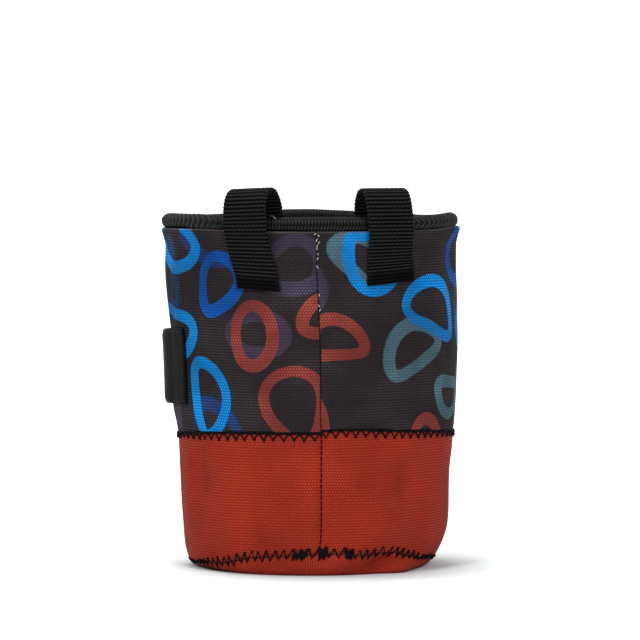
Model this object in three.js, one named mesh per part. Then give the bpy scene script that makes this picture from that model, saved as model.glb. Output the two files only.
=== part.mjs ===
// Climbing chalk bag: a cloth tube on a round base, held open by a stiff bound rim,
// with two webbing loops for a waist belt and an elastic sleeve for a brush.
// Millimetres, +Z up. The origin is on the floor under the middle of the bag,
// and the belt loops stand on the -Y side.

import * as THREE from "three";

// Driving dimensions
const CLOTH = 1.8; // wall of the shell, its layers together
const GAP = 0.3; // clearance between pieces that are sewn together
const BASE_THICK = 2.0;
const LIP_TOP = 141.5; // upper edge of the cloth, under the rim
const RIM = { top: 147.8, tube: 6.0, width: 124.2, depth: 111.0, centreX: -1.4 };
const BELT_WEB = { width: 20, thick: 1.6 };
const BRUSH_WEB = { height: 32.0, thick: 1.2, middle: 85.5 };

// Facets
const AROUND = 60;
const TUBE_SIDES = 10;
const BELT_FACETS_ACROSS = 4;
const BRUSH_FACETS_ACROSS = 4;

// Sections of the outer face of the cloth, from the floor up
const SECTIONS = [
  { z: 0.0, halfWidth: 46.5, halfDepth: 45.5, centreX: -1.2 },
  { z: 1.3, halfWidth: 49.6, halfDepth: 47.8, centreX: -1.0 },
  { z: 6.3, halfWidth: 52.6, halfDepth: 50.0, centreX: -0.4 },
  { z: 11.3, halfWidth: 54.2, halfDepth: 50.8, centreX: 0.3 },
  { z: 16.4, halfWidth: 55.1, halfDepth: 51.2, centreX: 0.8 },
  { z: 24.0, halfWidth: 55.8, halfDepth: 51.6, centreX: 0.9 },
  { z: 44.0, halfWidth: 57.0, halfDepth: 52.0, centreX: 0.8 },
  { z: 59.0, halfWidth: 58.1, halfDepth: 52.5, centreX: 0.8 },
  { z: 67.0, halfWidth: 59.1, halfDepth: 53.0, centreX: 0.4 },
  { z: 80.0, halfWidth: 59.6, halfDepth: 53.2, centreX: 0.4 },
  { z: 94.5, halfWidth: 60.1, halfDepth: 53.5, centreX: 0.3 },
  { z: 105.0, halfWidth: 60.5, halfDepth: 53.8, centreX: -0.2 },
  { z: 115.0, halfWidth: 60.9, halfDepth: 54.1, centreX: -0.6 },
  { z: 125.0, halfWidth: 60.9, halfDepth: 54.3, centreX: -1.2 },
  { z: 134.8, halfWidth: 60.8, halfDepth: 54.4, centreX: -1.2 },
  { z: 138.0, halfWidth: 61.4, halfDepth: 54.8, centreX: -1.3 },
  { z: LIP_TOP, halfWidth: 62.2, halfDepth: 55.4, centreX: -1.3 },
];

// Heights of the two seams round the bag; azimuth 0 is the front, 90 the +X side
const WAIST_SEAM = [
  { azimuth: -90, z: 56.3 },
  { azimuth: -40, z: 58.6 },
  { azimuth: 0, z: 60.0 },
  { azimuth: 12, z: 60.6 },
  { azimuth: 50, z: 58.8 },
  { azimuth: 90, z: 56.9 },
  { azimuth: 180, z: 57.5 },
];
const BASE_SEAM = [
  { azimuth: -90, z: 2.8 },
  { azimuth: -60, z: 4.2 },
  { azimuth: -38, z: 6.2 },
  { azimuth: 0, z: 9.0 },
  { azimuth: 38, z: 9.6 },
  { azimuth: 58, z: 7.2 },
  { azimuth: 90, z: 4.6 },
  { azimuth: 180, z: 6.0 },
];

// Folds and dents of the cloth: push is out of the wall, lean turns a fold's long side
const FOLDS = [
  { azimuth: -66, z: 126, push: 1.1, across: 7, along: 17, lean: -12 },
  { azimuth: -47, z: 124, push: -1.0, across: 8, along: 18, lean: -8 },
  { azimuth: -96, z: 85, push: -2.1, across: 10, along: 26, lean: 0 },
  { azimuth: 74, z: 118, push: -0.9, across: 8, along: 20, lean: 6 },
  { azimuth: 14, z: 66, push: 0.9, across: 11, along: 6, lean: 0 },
  { azimuth: 27, z: 48, push: -1.0, across: 8, along: 7, lean: 20 },
  { azimuth: 58, z: 43, push: -1.3, across: 7, along: 13, lean: -10 },
  { azimuth: 50, z: 26, push: -1.2, across: 6, along: 12, lean: 35 },
  { azimuth: 28, z: 35, push: 0.9, across: 8, along: 9, lean: 0 },
  { azimuth: -53, z: 36, push: -0.9, across: 9, along: 9, lean: 15 },
  { azimuth: -50, z: 16, push: -0.9, across: 10, along: 7, lean: 0 },
  { azimuth: 36, z: 5, push: -2.2, across: 9, along: 4, lean: 0 },
  { azimuth: 128, z: 100, push: -1.1, across: 8, along: 22, lean: 12 },
  { azimuth: -150, z: 95, push: -1.2, across: 9, along: 24, lean: -10 },
  { azimuth: 165, z: 34, push: -1.0, across: 9, along: 12, lean: 20 },
  { azimuth: -130, z: 30, push: 0.9, across: 8, along: 12, lean: -20 },
];

// Course of a belt loop, from its sewn outer end over the rim to its sewn inner end.
// out is from the outer face of the cloth; turn, hug and slide are shares: how far the
// strap faces its own way, how closely it follows the wall's curve, and how far it has
// slid sideways.
const BELT_COURSE = [
  { out: 1.1, z: 118.0, turn: 0, hug: 1, slide: 1 },
  { out: 1.1, z: 124.5, turn: 0, hug: 1, slide: 0.8 },
  { out: 1.6, z: 130.5, turn: 0.4, hug: 0.8, slide: 0.35 },
  { out: 2.5, z: 137.0, turn: 0.9, hug: 0.4, slide: 0.08 },
  { out: 3.2, z: 143.0, turn: 1, hug: 0.1, slide: 0 },
  { out: 3.5, z: 149.0, turn: 1, hug: 0, slide: 0 },
  { out: 3.1, z: 153.2, turn: 1, hug: 0, slide: 0 },
  { out: 1.7, z: 156.4, turn: 1, hug: 0, slide: 0 },
  { out: -0.9, z: 158.4, turn: 1, hug: 0, slide: 0 },
  { out: -4.4, z: 158.4, turn: 1, hug: 0, slide: 0 },
  { out: -7.0, z: 156.4, turn: 1, hug: 0, slide: 0 },
  { out: -8.8, z: 152.4, turn: 0.9, hug: 0.4, slide: 0 },
  { out: -9.0, z: 147.0, turn: 0.5, hug: 1, slide: 0 },
  { out: -7.9, z: 141.0, turn: 0, hug: 1, slide: 0 },
  { out: -4.6, z: 134.5, turn: 0, hug: 1, slide: 0 },
  { out: -2.9, z: 129.5, turn: 0, hug: 1, slide: 0 },
  { out: -2.9, z: 119.0, turn: 0, hug: 1, slide: 0 },
];

// The belt loops: where they cross the rim and which way their arches face. Their outer
// ends have slid along the wall, are raised, and slope upwards for each millimetre.
const BELT_LOOPS = [
  { name: "belt_loop_left", azimuth: -23.7, facing: -31, slid: 2.8, raised: 0, slope: -0.06 },
  { name: "belt_loop_right", azimuth: 29.8, facing: 22, slid: 2.9, raised: 1.9, slope: 0.17 },
];

// Course of the brush sleeve round the -X wall: two sewn ends and the hollow between.
// hug is the share of the wall's own dents that it follows.
const BRUSH_COURSE = [
  { azimuth: -118.4, out: 0.9, hug: 1 },
  { azimuth: -113.0, out: 0.9, hug: 1 },
  { azimuth: -108.5, out: 0.9, hug: 1 },
  { azimuth: -105.5, out: 2.8, hug: 0.5 },
  { azimuth: -101.5, out: 4.6, hug: 0 },
  { azimuth: -96.0, out: 4.7, hug: 0 },
  { azimuth: -90.0, out: 4.3, hug: 0 },
  { azimuth: -84.5, out: 4.0, hug: 0 },
  { azimuth: -79.5, out: 3.5, hug: 0 },
  { azimuth: -76.0, out: 2.1, hug: 0.5 },
  { azimuth: -72.4, out: 0.9, hug: 1 },
  { azimuth: -67.0, out: 0.9, hug: 1 },
  { azimuth: -61.6, out: 0.9, hug: 1 },
];

const { degToRad, radToDeg, euclideanModulo, clamp, lerp } = THREE.MathUtils;

// Smooth value of one column at a place between the rows of a table
function rowValue(rows, key, column, at) {
  let i = 0;
  while (i < rows.length - 2 && at > rows[i + 1][key]) i += 1;
  const before = rows[Math.max(i - 1, 0)];
  const low = rows[i];
  const high = rows[i + 1];
  const after = rows[Math.min(i + 2, rows.length - 1)];
  const span = high[key] - low[key];
  const t = clamp((at - low[key]) / span, 0, 1);
  const slopeLow = ((high[column] - before[column]) / (high[key] - before[key])) * span;
  const slopeHigh = ((after[column] - low[column]) / (after[key] - low[key])) * span;
  return (
    (2 * t ** 3 - 3 * t ** 2 + 1) * low[column] +
    (t ** 3 - 2 * t ** 2 + t) * slopeLow +
    (3 * t ** 2 - 2 * t ** 3) * high[column] +
    (t ** 3 - t ** 2) * slopeHigh
  );
}

// Turn from one azimuth to another, in degrees, the short way round
function turnBetween(from, to) {
  return euclideanModulo(to - from + 180, 360) - 180;
}

// Height of a seam at an azimuth; its table closes round the back
function seamHeight(seam, azimuth) {
  const back = seam[seam.length - 1];
  const closed = [{ azimuth: back.azimuth - 360, z: back.z }, ...seam];
  return rowValue(closed, "azimuth", "z", turnBetween(0, azimuth));
}

// How far the folds push the wall out at a place
function foldPush(azimuth, z) {
  return FOLDS.reduce((push, fold) => {
    const side = degToRad(turnBetween(fold.azimuth, azimuth)) * (RIM.width / 2);
    const up = z - fold.z;
    const lean = degToRad(fold.lean);
    const across = side * Math.cos(lean) + up * Math.sin(lean);
    const along = up * Math.cos(lean) - side * Math.sin(lean);
    return push + fold.push * Math.exp(-((across / fold.across) ** 2) - (along / fold.along) ** 2);
  }, 0);
}

// Half width, half depth and centre of the wall at a height, its folds left out
function sectionAt(z) {
  const level = clamp(z, 0, LIP_TOP);
  const value = (column) => rowValue(SECTIONS, "z", column, level);
  return { halfWidth: value("halfWidth"), halfDepth: value("halfDepth"), centreX: value("centreX") };
}

// A point at an azimuth and height, some distance out from the outer face of the cloth;
// folds is the share of the wall's folds that it follows
function wallPoint(azimuth, z, out, folds = 1) {
  const { halfWidth, halfDepth, centreX } = sectionAt(z);
  const a = degToRad(azimuth);
  const moved = out + folds * foldPush(azimuth, Math.min(z, LIP_TOP));
  return new THREE.Vector3(
    centreX + (halfWidth + moved) * Math.sin(a),
    -(halfDepth + moved) * Math.cos(a),
    z,
  );
}

// Turn a profile once round Z. Its rows go up the outside and down the inside, and
// place(row, azimuth) says where each of their vertices stands.
function turned(rows, place) {
  const points = rows.map((row, i) => new THREE.Vector2(RIM.width / 2, i));
  const geometry = new THREE.LatheGeometry(points, AROUND);
  const position = geometry.getAttribute("position");
  for (let i = 0; i < position.count; i += 1) {
    const azimuth = (360 * Math.floor(i / rows.length)) / AROUND;
    const { x, y, z } = place(rows[i % rows.length], azimuth);
    position.setXYZ(i, x, y, z);
  }
  geometry.computeVertexNormals();
  return geometry;
}

// A band of cloth between two edges whose heights follow the azimuth.
// shares are the levels of its rows, from 0 at the lower edge to 1 at the upper one.
function clothBand(shares, lower, upper) {
  const outer = shares.map((share) => ({ share, out: 0 }));
  const inner = shares.map((share) => ({ share, out: -CLOTH })).reverse();
  return turned([...outer, ...inner, outer[0]], ({ share, out }, azimuth) =>
    wallPoint(azimuth, lerp(lower(azimuth), upper(azimuth), share), out),
  );
}

function upperPanel() {
  const shares = [0, 0.08, 0.2, 0.34, 0.48, 0.62, 0.75, 0.87, 0.95, 1];
  const lower = (azimuth) => seamHeight(WAIST_SEAM, azimuth) + GAP / 2;
  return clothBand(shares, lower, () => LIP_TOP);
}

function lowerPanel() {
  const shares = [0, 0.12, 0.28, 0.46, 0.64, 0.83, 1];
  const lower = (azimuth) => seamHeight(BASE_SEAM, azimuth) + GAP / 2;
  const upper = (azimuth) => seamHeight(WAIST_SEAM, azimuth) - GAP / 2;
  return clothBand(shares, lower, upper);
}

// The base is a shallow dish: a flat foot, a rounded corner and a low wall to its seam.
// ring is the share of the way from the middle out to the wall.
function basePanel() {
  const rises = [0, 0.14, 0.38, 0.68, 1];
  const outer = rises.map((share) => ({ share, ring: 1, floor: 0, out: 0 }));
  const inner = rises.map((share) => ({ share, ring: 1, floor: BASE_THICK, out: -CLOTH })).reverse();
  const foot = [0, 0.5].map((ring) => ({ ...outer[0], ring }));
  const inside = [0.5, 0].map((ring) => ({ ...inner[inner.length - 1], ring }));
  return turned([...foot, ...outer, ...inner, ...inside], ({ share, ring, floor, out }, azimuth) => {
    const z = lerp(floor, seamHeight(BASE_SEAM, azimuth) - GAP / 2, share);
    const edge = wallPoint(azimuth, z, out);
    const middle = new THREE.Vector3(sectionAt(0).centreX, 0, z);
    return middle.lerp(edge, ring);
  });
}

// The bound rim is a round tube on an oval course
function rim() {
  const radius = RIM.tube / 2;
  const sides = Array.from({ length: TUBE_SIDES + 1 }, (_, i) => ({ angle: (2 * Math.PI * i) / TUBE_SIDES }));
  return turned(sides, ({ angle }, azimuth) => {
    const out = radius * Math.sin(angle) - radius;
    const a = degToRad(azimuth);
    return new THREE.Vector3(
      RIM.centreX + (RIM.width / 2 + out) * Math.sin(a),
      -(RIM.depth / 2 + out) * Math.cos(a),
      RIM.top - radius - radius * Math.cos(angle),
    );
  });
}

// A flat strip of webbing, one facet long for each step of its course.
// place(index, across, through) says where each of its vertices stands.
function strip(width, thick, facetsAcross, course, place) {
  const steps = course.length - 1;
  const geometry = new THREE.BoxGeometry(width, 1, thick, facetsAcross, steps, 1);
  const position = geometry.getAttribute("position");
  for (let i = 0; i < position.count; i += 1) {
    const index = Math.round((position.getY(i) + 0.5) * steps);
    const { x, y, z } = place(index, position.getX(i), position.getZ(i));
    position.setXYZ(i, x, y, z);
  }
  geometry.computeVertexNormals();
  return geometry;
}

// A belt loop: its strap stands on the wall outside, arches over the rim and comes
// down inside
function beltLoop({ azimuth, facing, slid, raised, slope }) {
  const { width, thick } = BELT_WEB;
  return strip(width, thick, BELT_FACETS_ACROSS, BELT_COURSE, (index, across, through) => {
    const row = BELT_COURSE[index];
    const last = BELT_COURSE[Math.max(index - 1, 0)];
    const next = BELT_COURSE[Math.min(index + 1, BELT_COURSE.length - 1)];
    const ahead = new THREE.Vector2(next.out - last.out, next.z - last.z).normalize();
    const out = row.out + through * ahead.y;
    const z = row.z - through * ahead.x + (raised + across * slope) * row.slide;
    const side = across + slid * row.slide;

    const { halfWidth, halfDepth } = sectionAt(z);
    const a = degToRad(azimuth);
    const run = Math.hypot(halfWidth * Math.cos(a), halfDepth * Math.sin(a));
    const hugged = wallPoint(azimuth + radToDeg(side / (run + out)), z, out);

    const wallFacing = Math.atan2(halfDepth * Math.sin(a), halfWidth * Math.cos(a));
    const turn = lerp(wallFacing, degToRad(facing), row.turn);
    const straight = wallPoint(azimuth, z, 0);
    straight.x += out * Math.sin(turn) + side * Math.cos(turn);
    straight.y += side * Math.sin(turn) - out * Math.cos(turn);
    return straight.lerp(hugged, row.hug);
  });
}

// The brush sleeve: an elastic band sewn down along both upright edges
function brushSleeve() {
  const { height, thick, middle } = BRUSH_WEB;
  return strip(height, thick, BRUSH_FACETS_ACROSS, BRUSH_COURSE, (index, across, through) => {
    const { azimuth, out, hug } = BRUSH_COURSE[index];
    return wallPoint(azimuth, middle - across, out + through, hug);
  });
}

const CLOTH_FINISH = { roughness: 0.85, metalness: 0 };
const charcoalPrint = new THREE.MeshStandardMaterial({ color: 0x322b2c, ...CLOTH_FINISH });
const rustCloth = new THREE.MeshStandardMaterial({ color: 0x952f21, ...CLOTH_FINISH });
const rustBase = new THREE.MeshStandardMaterial({ color: 0x882a1d, ...CLOTH_FINISH });
const blackTape = new THREE.MeshStandardMaterial({ color: 0x1c1c1c, ...CLOTH_FINISH });
const blackWebbing = new THREE.MeshStandardMaterial({ color: 0x161616, ...CLOTH_FINISH });
const blackElastic = new THREE.MeshStandardMaterial({ color: 0x1f1f1f, ...CLOTH_FINISH });

function piece(name, geometry, material) {
  const mesh = new THREE.Mesh(geometry, material);
  mesh.name = name;
  return mesh;
}

const bag = new THREE.Group();
bag.add(piece("base_panel", basePanel(), rustBase));
bag.add(piece("lower_panel", lowerPanel(), rustCloth));
bag.add(piece("upper_panel", upperPanel(), charcoalPrint));
bag.add(piece("rim", rim(), blackTape));
for (const loop of BELT_LOOPS) {
  bag.add(piece(loop.name, beltLoop(loop), blackWebbing));
}
bag.add(piece("brush_sleeve", brushSleeve(), blackElastic));

export default bag;
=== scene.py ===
"""A small climbing chalk bag of woven cloth, with a bound rim, webbing belt loops and a brush sleeve.

Tables hold millimetres and degrees; every finished mesh is in metres. Azimuth 0 is the
front, where the belt loops are, and 90 is the bag's right side.
"""

import logging
import math
from dataclasses import dataclass, field
from enum import Enum
from typing import Callable, Sequence

import bmesh
import bpy
import numpy as np
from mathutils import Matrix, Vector

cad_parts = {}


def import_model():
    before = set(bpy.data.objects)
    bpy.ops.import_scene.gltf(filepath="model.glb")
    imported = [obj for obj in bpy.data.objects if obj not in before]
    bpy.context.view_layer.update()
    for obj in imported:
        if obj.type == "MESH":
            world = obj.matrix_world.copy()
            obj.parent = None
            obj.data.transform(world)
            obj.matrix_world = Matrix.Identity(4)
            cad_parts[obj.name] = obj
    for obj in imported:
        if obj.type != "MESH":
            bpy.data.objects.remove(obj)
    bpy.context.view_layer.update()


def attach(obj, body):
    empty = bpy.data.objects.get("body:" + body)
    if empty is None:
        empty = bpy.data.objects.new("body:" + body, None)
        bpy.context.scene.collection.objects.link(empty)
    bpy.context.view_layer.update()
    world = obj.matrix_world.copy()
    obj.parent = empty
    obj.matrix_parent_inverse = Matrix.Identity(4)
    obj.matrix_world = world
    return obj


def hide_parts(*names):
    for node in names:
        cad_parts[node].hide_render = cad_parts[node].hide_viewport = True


LOG = logging.getLogger("chalk_bag")
MM = 0.001
BODY = "root"
SEED = 7
FAR_SEAM = 50.0
WELD = 1e-7

Source = bpy.types.NodeSocket | float | tuple


class Dye(Enum):
    """The printed colours, as linear red, green and blue."""

    BRIGHT_BLUE = (0.001, 0.200, 0.575)
    DEEP_BLUE = (0.002, 0.085, 0.390)
    RED = (0.238, 0.041, 0.031)
    TEAL = (0.072, 0.142, 0.176)
    INDIGO = (0.014, 0.036, 0.120)
    MAUVE = (0.048, 0.038, 0.066)


class Outline(Enum):
    """The printed outlines, as width over length, taper and bend."""

    OVAL = (0.66, 0.0, 0.0)
    EGG = (0.74, 0.34, 0.0)
    BEAN = (0.58, 0.12, 0.30)


@dataclass(frozen=True)
class Section:
    """Outer face of the cloth at one height."""

    z: float
    half_width: float
    half_depth: float
    centre_x: float


@dataclass(frozen=True)
class SeamMark:
    """Height of a seam at one azimuth."""

    azimuth: float
    z: float


@dataclass(frozen=True)
class Fold:
    """A soft fold: push is out of the wall, lean turns its long side."""

    azimuth: float
    z: float
    push: float
    across: float
    along: float
    lean: float


@dataclass(frozen=True)
class StrapMark:
    """One place on a belt loop's course; out is from the outer face of the cloth."""

    out: float
    z: float
    turn: float
    hug: float
    slide: float


@dataclass(frozen=True)
class SleeveMark:
    """One place on the brush sleeve's course round the wall."""

    azimuth: float
    out: float
    hug: float


@dataclass(frozen=True)
class Lump:
    """A soft rise or swelling round the mouth; reach is in degrees."""

    azimuth: float
    reach: float
    rise: float
    swell: float = 0.0


@dataclass
class Nominal:
    """Where the vertices of a piece stand before it is shaped, one array a column."""

    azimuth: np.ndarray
    out: np.ndarray
    share: np.ndarray
    ring: np.ndarray
    floor: np.ndarray


def eased(rows: Sequence, key: str, value: str, at: np.ndarray) -> np.ndarray:
    """Smooth value of one column of a table between its rows.

    Args:
        rows: dataclass rows in rising order of key.
        key: name of the column that is looked up.
        value: name of the column that is returned.
        at: the places to look up.

    Returns:
        The value at each place.
    """
    keys = np.array([getattr(row, key) for row in rows], float)
    values = np.array([getattr(row, value) for row in rows], float)
    i = np.clip(np.searchsorted(keys, at, side="right") - 1, 0, len(rows) - 2)
    before, after = np.maximum(i - 1, 0), np.minimum(i + 2, len(rows) - 1)
    span = keys[i + 1] - keys[i]
    t = np.clip((at - keys[i]) / span, 0, 1)
    slope_low = (values[i + 1] - values[before]) / (keys[i + 1] - keys[before]) * span
    slope_high = (values[after] - values[i]) / (keys[after] - keys[i]) * span
    return (
        (2 * t**3 - 3 * t**2 + 1) * values[i]
        + (t**3 - 2 * t**2 + t) * slope_low
        + (3 * t**2 - 2 * t**3) * values[i + 1]
        + (t**3 - t**2) * slope_high
    )


def turn_between(start: float, end: np.ndarray) -> np.ndarray:
    """Turn from one azimuth to others, in degrees, the short way round."""
    return (end - start + 180) % 360 - 180


def lumps_at(lumps: Sequence[Lump], column: str, azimuth: np.ndarray) -> np.ndarray:
    """Sum of one column of some lumps at given azimuths."""
    return sum(
        getattr(lump, column) * np.exp(-((turn_between(lump.azimuth, azimuth) / lump.reach) ** 2)) for lump in lumps
    )


def smooth_step(low: float, high: float, at: np.ndarray) -> np.ndarray:
    """0 below low, 1 above high and an even slope between."""
    t = np.clip((at - low) / (high - low), 0, 1)
    return t * t * (3 - 2 * t)


@dataclass
class BagForm:
    """The shape of the bag's wall, shared by every piece that lies on it."""

    lip_top: float = 141.5
    rim_top: float = 147.8
    rim_tube: float = 6.0
    rim_width: float = 124.2
    rim_depth: float = 111.0
    rim_centre_x: float = -1.4
    cloth: float = 1.8
    gap: float = 0.3
    centre_seam: float = 2.6
    waist_step: float = 0.8
    waist_step_reach: float = 26.0
    waist_step_half: float = 0.35
    sections: tuple = (
        Section(0.0, 46.5, 45.5, -1.2),
        Section(1.3, 49.6, 47.8, -1.0),
        Section(6.3, 52.6, 50.0, -0.4),
        Section(11.3, 54.2, 50.8, 0.3),
        Section(16.4, 55.1, 51.2, 0.8),
        Section(24.0, 55.8, 51.6, 0.9),
        Section(44.0, 57.0, 52.0, 0.8),
        Section(59.0, 58.1, 52.5, 0.8),
        Section(67.0, 59.1, 53.0, 0.4),
        Section(80.0, 59.6, 53.2, 0.4),
        Section(94.5, 60.1, 53.5, 0.3),
        Section(105.0, 60.5, 53.8, -0.2),
        Section(115.0, 60.9, 54.1, -0.6),
        Section(125.0, 60.9, 54.3, -1.2),
        Section(134.8, 60.8, 54.4, -1.2),
        Section(138.0, 61.4, 54.8, -1.3),
        Section(141.5, 62.2, 55.4, -1.3),
    )
    waist_seam: tuple = (
        SeamMark(-180, 57.5),
        SeamMark(-90, 56.3),
        SeamMark(-40, 58.6),
        SeamMark(0, 60.0),
        SeamMark(12, 60.6),
        SeamMark(50, 58.8),
        SeamMark(90, 56.9),
        SeamMark(180, 57.5),
    )
    base_seam: tuple = (
        SeamMark(-180, 6.0),
        SeamMark(-90, 2.0),
        SeamMark(-62, 3.2),
        SeamMark(-46, 4.1),
        SeamMark(-38, 5.2),
        SeamMark(-30, 7.0),
        SeamMark(0, 9.0),
        SeamMark(14, 9.3),
        SeamMark(24, 8.2),
        SeamMark(34, 9.0),
        SeamMark(41, 8.6),
        SeamMark(49, 6.9),
        SeamMark(58, 5.5),
        SeamMark(68, 5.0),
        SeamMark(90, 3.2),
        SeamMark(180, 6.0),
    )
    folds: tuple = (
        Fold(-66, 126, 1.1, 7, 17, -12),
        Fold(-47, 124, -1.0, 8, 18, -8),
        Fold(-96, 85, -2.1, 10, 26, 0),
        Fold(74, 118, -0.9, 8, 20, 6),
        Fold(14, 66, 0.9, 11, 6, 0),
        Fold(27, 48, -1.0, 8, 7, 20),
        Fold(58, 43, -1.3, 7, 13, -10),
        Fold(50, 26, -1.2, 6, 12, 35),
        Fold(28, 35, 0.9, 8, 9, 0),
        Fold(-53, 36, -0.9, 9, 9, 15),
        Fold(-50, 16, -0.9, 10, 7, 0),
        Fold(36, 5, -2.2, 9, 4, 0),
        Fold(128, 100, -1.1, 8, 22, 12),
        Fold(-150, 95, -1.2, 9, 24, -10),
        Fold(165, 34, -1.0, 9, 12, 20),
        Fold(-130, 30, 0.9, 8, 12, -20),
    )
    rim_lumps: tuple = (
        Lump(-58, 26, 0.7, 0.15),
        Lump(-128, 28, -1.5),
        Lump(-174, 22, 0.5),
        Lump(132, 26, -1.6),
        Lump(78, 18, 0.6),
    )
    lip_lumps: tuple = (
        Lump(84, 24, 0.8),
        Lump(-50, 24, 0.5),
    )
    lip_raise: float = 0.45
    creases: tuple = (
        Fold(84, 142, 0.5, 9, 3.5, 0),
        Fold(-84, 142, 0.3, 9, 3.5, 0),
        Fold(92, 88, 0.45, 16, 36, 0),
        Fold(-90, 70, 0.35, 14, 13, 0),
        Fold(90, 50, 0.40, 14, 9, 0),
        Fold(90, 22, 0.35, 14, 14, 0),
        Fold(12, 33.5, -1.3, 10, 1.9, -13),
        Fold(-7, 31, -0.8, 6, 1.8, -12),
        Fold(19, 33, 2.0, 4.6, 19, 45),
        Fold(42, 36, -2.6, 7, 8, 10),
        Fold(33, 20, 1.4, 7, 5, 10),
        Fold(8, 50, 0.9, 5, 9, 0),
        Fold(-36, 40, 1.8, 5.5, 18, -42),
        Fold(-58, 40, -2.0, 6, 14, -12),
        Fold(-27, 15, -2.0, 5, 4, 20),
        Fold(-38, 20, 1.5, 6, 5, 0),
        Fold(-60, 135, 0.9, 3.0, 9, -26),
        Fold(-50, 122, -1.0, 3.4, 12, -30),
        Fold(-62, 116, 1.1, 2.6, 14, -24),
        Fold(-76, 112, -0.7, 3.0, 14, -6),
        Fold(15, 67, 1.3, 9, 4, 8),
        Fold(24, 74, -1.0, 11, 3.5, 16),
        Fold(-24, 96, -0.9, 9, 5, 25),
        Fold(-34, 84, 0.8, 7, 9, -30),
        Fold(46, 112, -0.9, 6, 12, 18),
        Fold(58, 74, 0.8, 5, 10, -12),
        Fold(44, 18, 0.55, 9, 4, -25),
        Fold(33, 4.8, -3.0, 6.5, 2.6, 12),
        Fold(20, 6.0, 0.5, 6, 2.5, 0),
        Fold(62, 58, 0.5, 10, 3, 0),
        Fold(-30, 70, -0.35, 16, 3.5, 10),
        Fold(66, 92, -0.4, 5, 12, 24),
    )

    def section(self, z: np.ndarray) -> tuple[np.ndarray, np.ndarray, np.ndarray]:
        """Half width, half depth and centre of the wall at given heights."""
        level = np.clip(z, 0, self.lip_top)
        return tuple(
            eased(self.sections, "z", name, level) for name in ("half_width", "half_depth", "centre_x")
        )

    def push(self, azimuth: np.ndarray, z: np.ndarray, folds: Sequence[Fold]) -> np.ndarray:
        """How far folds push the wall out.

        Args:
            azimuth: azimuths in degrees.
            z: heights in millimetres.
            folds: the folds to add up.

        Returns:
            The push at each place, in millimetres.
        """
        total = np.zeros(np.broadcast(azimuth, z).shape)
        for fold in folds:
            side = np.radians(turn_between(fold.azimuth, azimuth)) * self.rim_width / 2
            up = z - fold.z
            cos, sin = math.cos(math.radians(fold.lean)), math.sin(math.radians(fold.lean))
            across, along = side * cos + up * sin, up * cos - side * sin
            total += fold.push * np.exp(-((across / fold.across) ** 2) - (along / fold.along) ** 2)
        return total

    def point(self, azimuth: np.ndarray, z: np.ndarray, out: np.ndarray, folds: float = 1.0) -> np.ndarray:
        """Points on or off the wall.

        Args:
            azimuth: azimuths in degrees.
            z: heights in millimetres.
            out: distances out from the outer face, in millimetres.
            folds: share of the wall's own folds that the points follow.

        Returns:
            An array of points in millimetres, one a row.
        """
        half_width, half_depth, centre_x = self.section(z)
        a = np.radians(azimuth)
        moved = out + folds * self.push(azimuth, np.minimum(z, self.lip_top), self.folds)
        x = centre_x + (half_width + moved) * np.sin(a)
        y = -(half_depth + moved) * np.cos(a)
        return np.stack([x, y, np.broadcast_to(z, x.shape)], axis=-1)

    def waist(self, azimuth: np.ndarray) -> np.ndarray:
        """Height of the seam between the two bands of cloth, with a step at the middle seam."""
        left = turn_between(self.centre_seam, azimuth)
        half = self.waist_step_half
        step = np.exp(-((left / self.waist_step_reach) ** 2)) * (1 - smooth_step(-half, half, left))
        return eased(self.waist_seam, "azimuth", "z", turn_between(0, azimuth)) - self.waist_step * step

    def lip(self, azimuth: np.ndarray) -> np.ndarray:
        """Height of the cloth's turned edge under the rim."""
        return self.lip_top + self.lip_raise + lumps_at(self.lip_lumps, "rise", azimuth)

    def foot(self, azimuth: np.ndarray) -> np.ndarray:
        """Height of the seam between the lower band and the base."""
        return eased(self.base_seam, "azimuth", "z", turn_between(0, azimuth))

    def arc(self, azimuth: np.ndarray, z: float = 80.0) -> np.ndarray:
        """Length along the wall from the front, at a middle height."""
        half_width, half_depth, _ = self.section(np.array(z))
        fine = np.linspace(-360, 360, 1441)
        a = np.radians(fine)
        speed = np.hypot(half_width * np.cos(a), half_depth * np.sin(a))
        steps = np.radians(np.diff(fine)) * (speed[1:] + speed[:-1]) / 2
        length = np.concatenate([[0], np.cumsum(steps)])
        return np.interp(azimuth, fine, length - np.interp(0, fine, length))

    def arc_to(self, azimuth: float) -> float:
        """Length along the wall from the front to one azimuth."""
        return float(self.arc(np.array(azimuth)))

    def girth(self) -> float:
        """Length once round the wall, at a middle height."""
        return self.arc_to(360.0)


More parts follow.
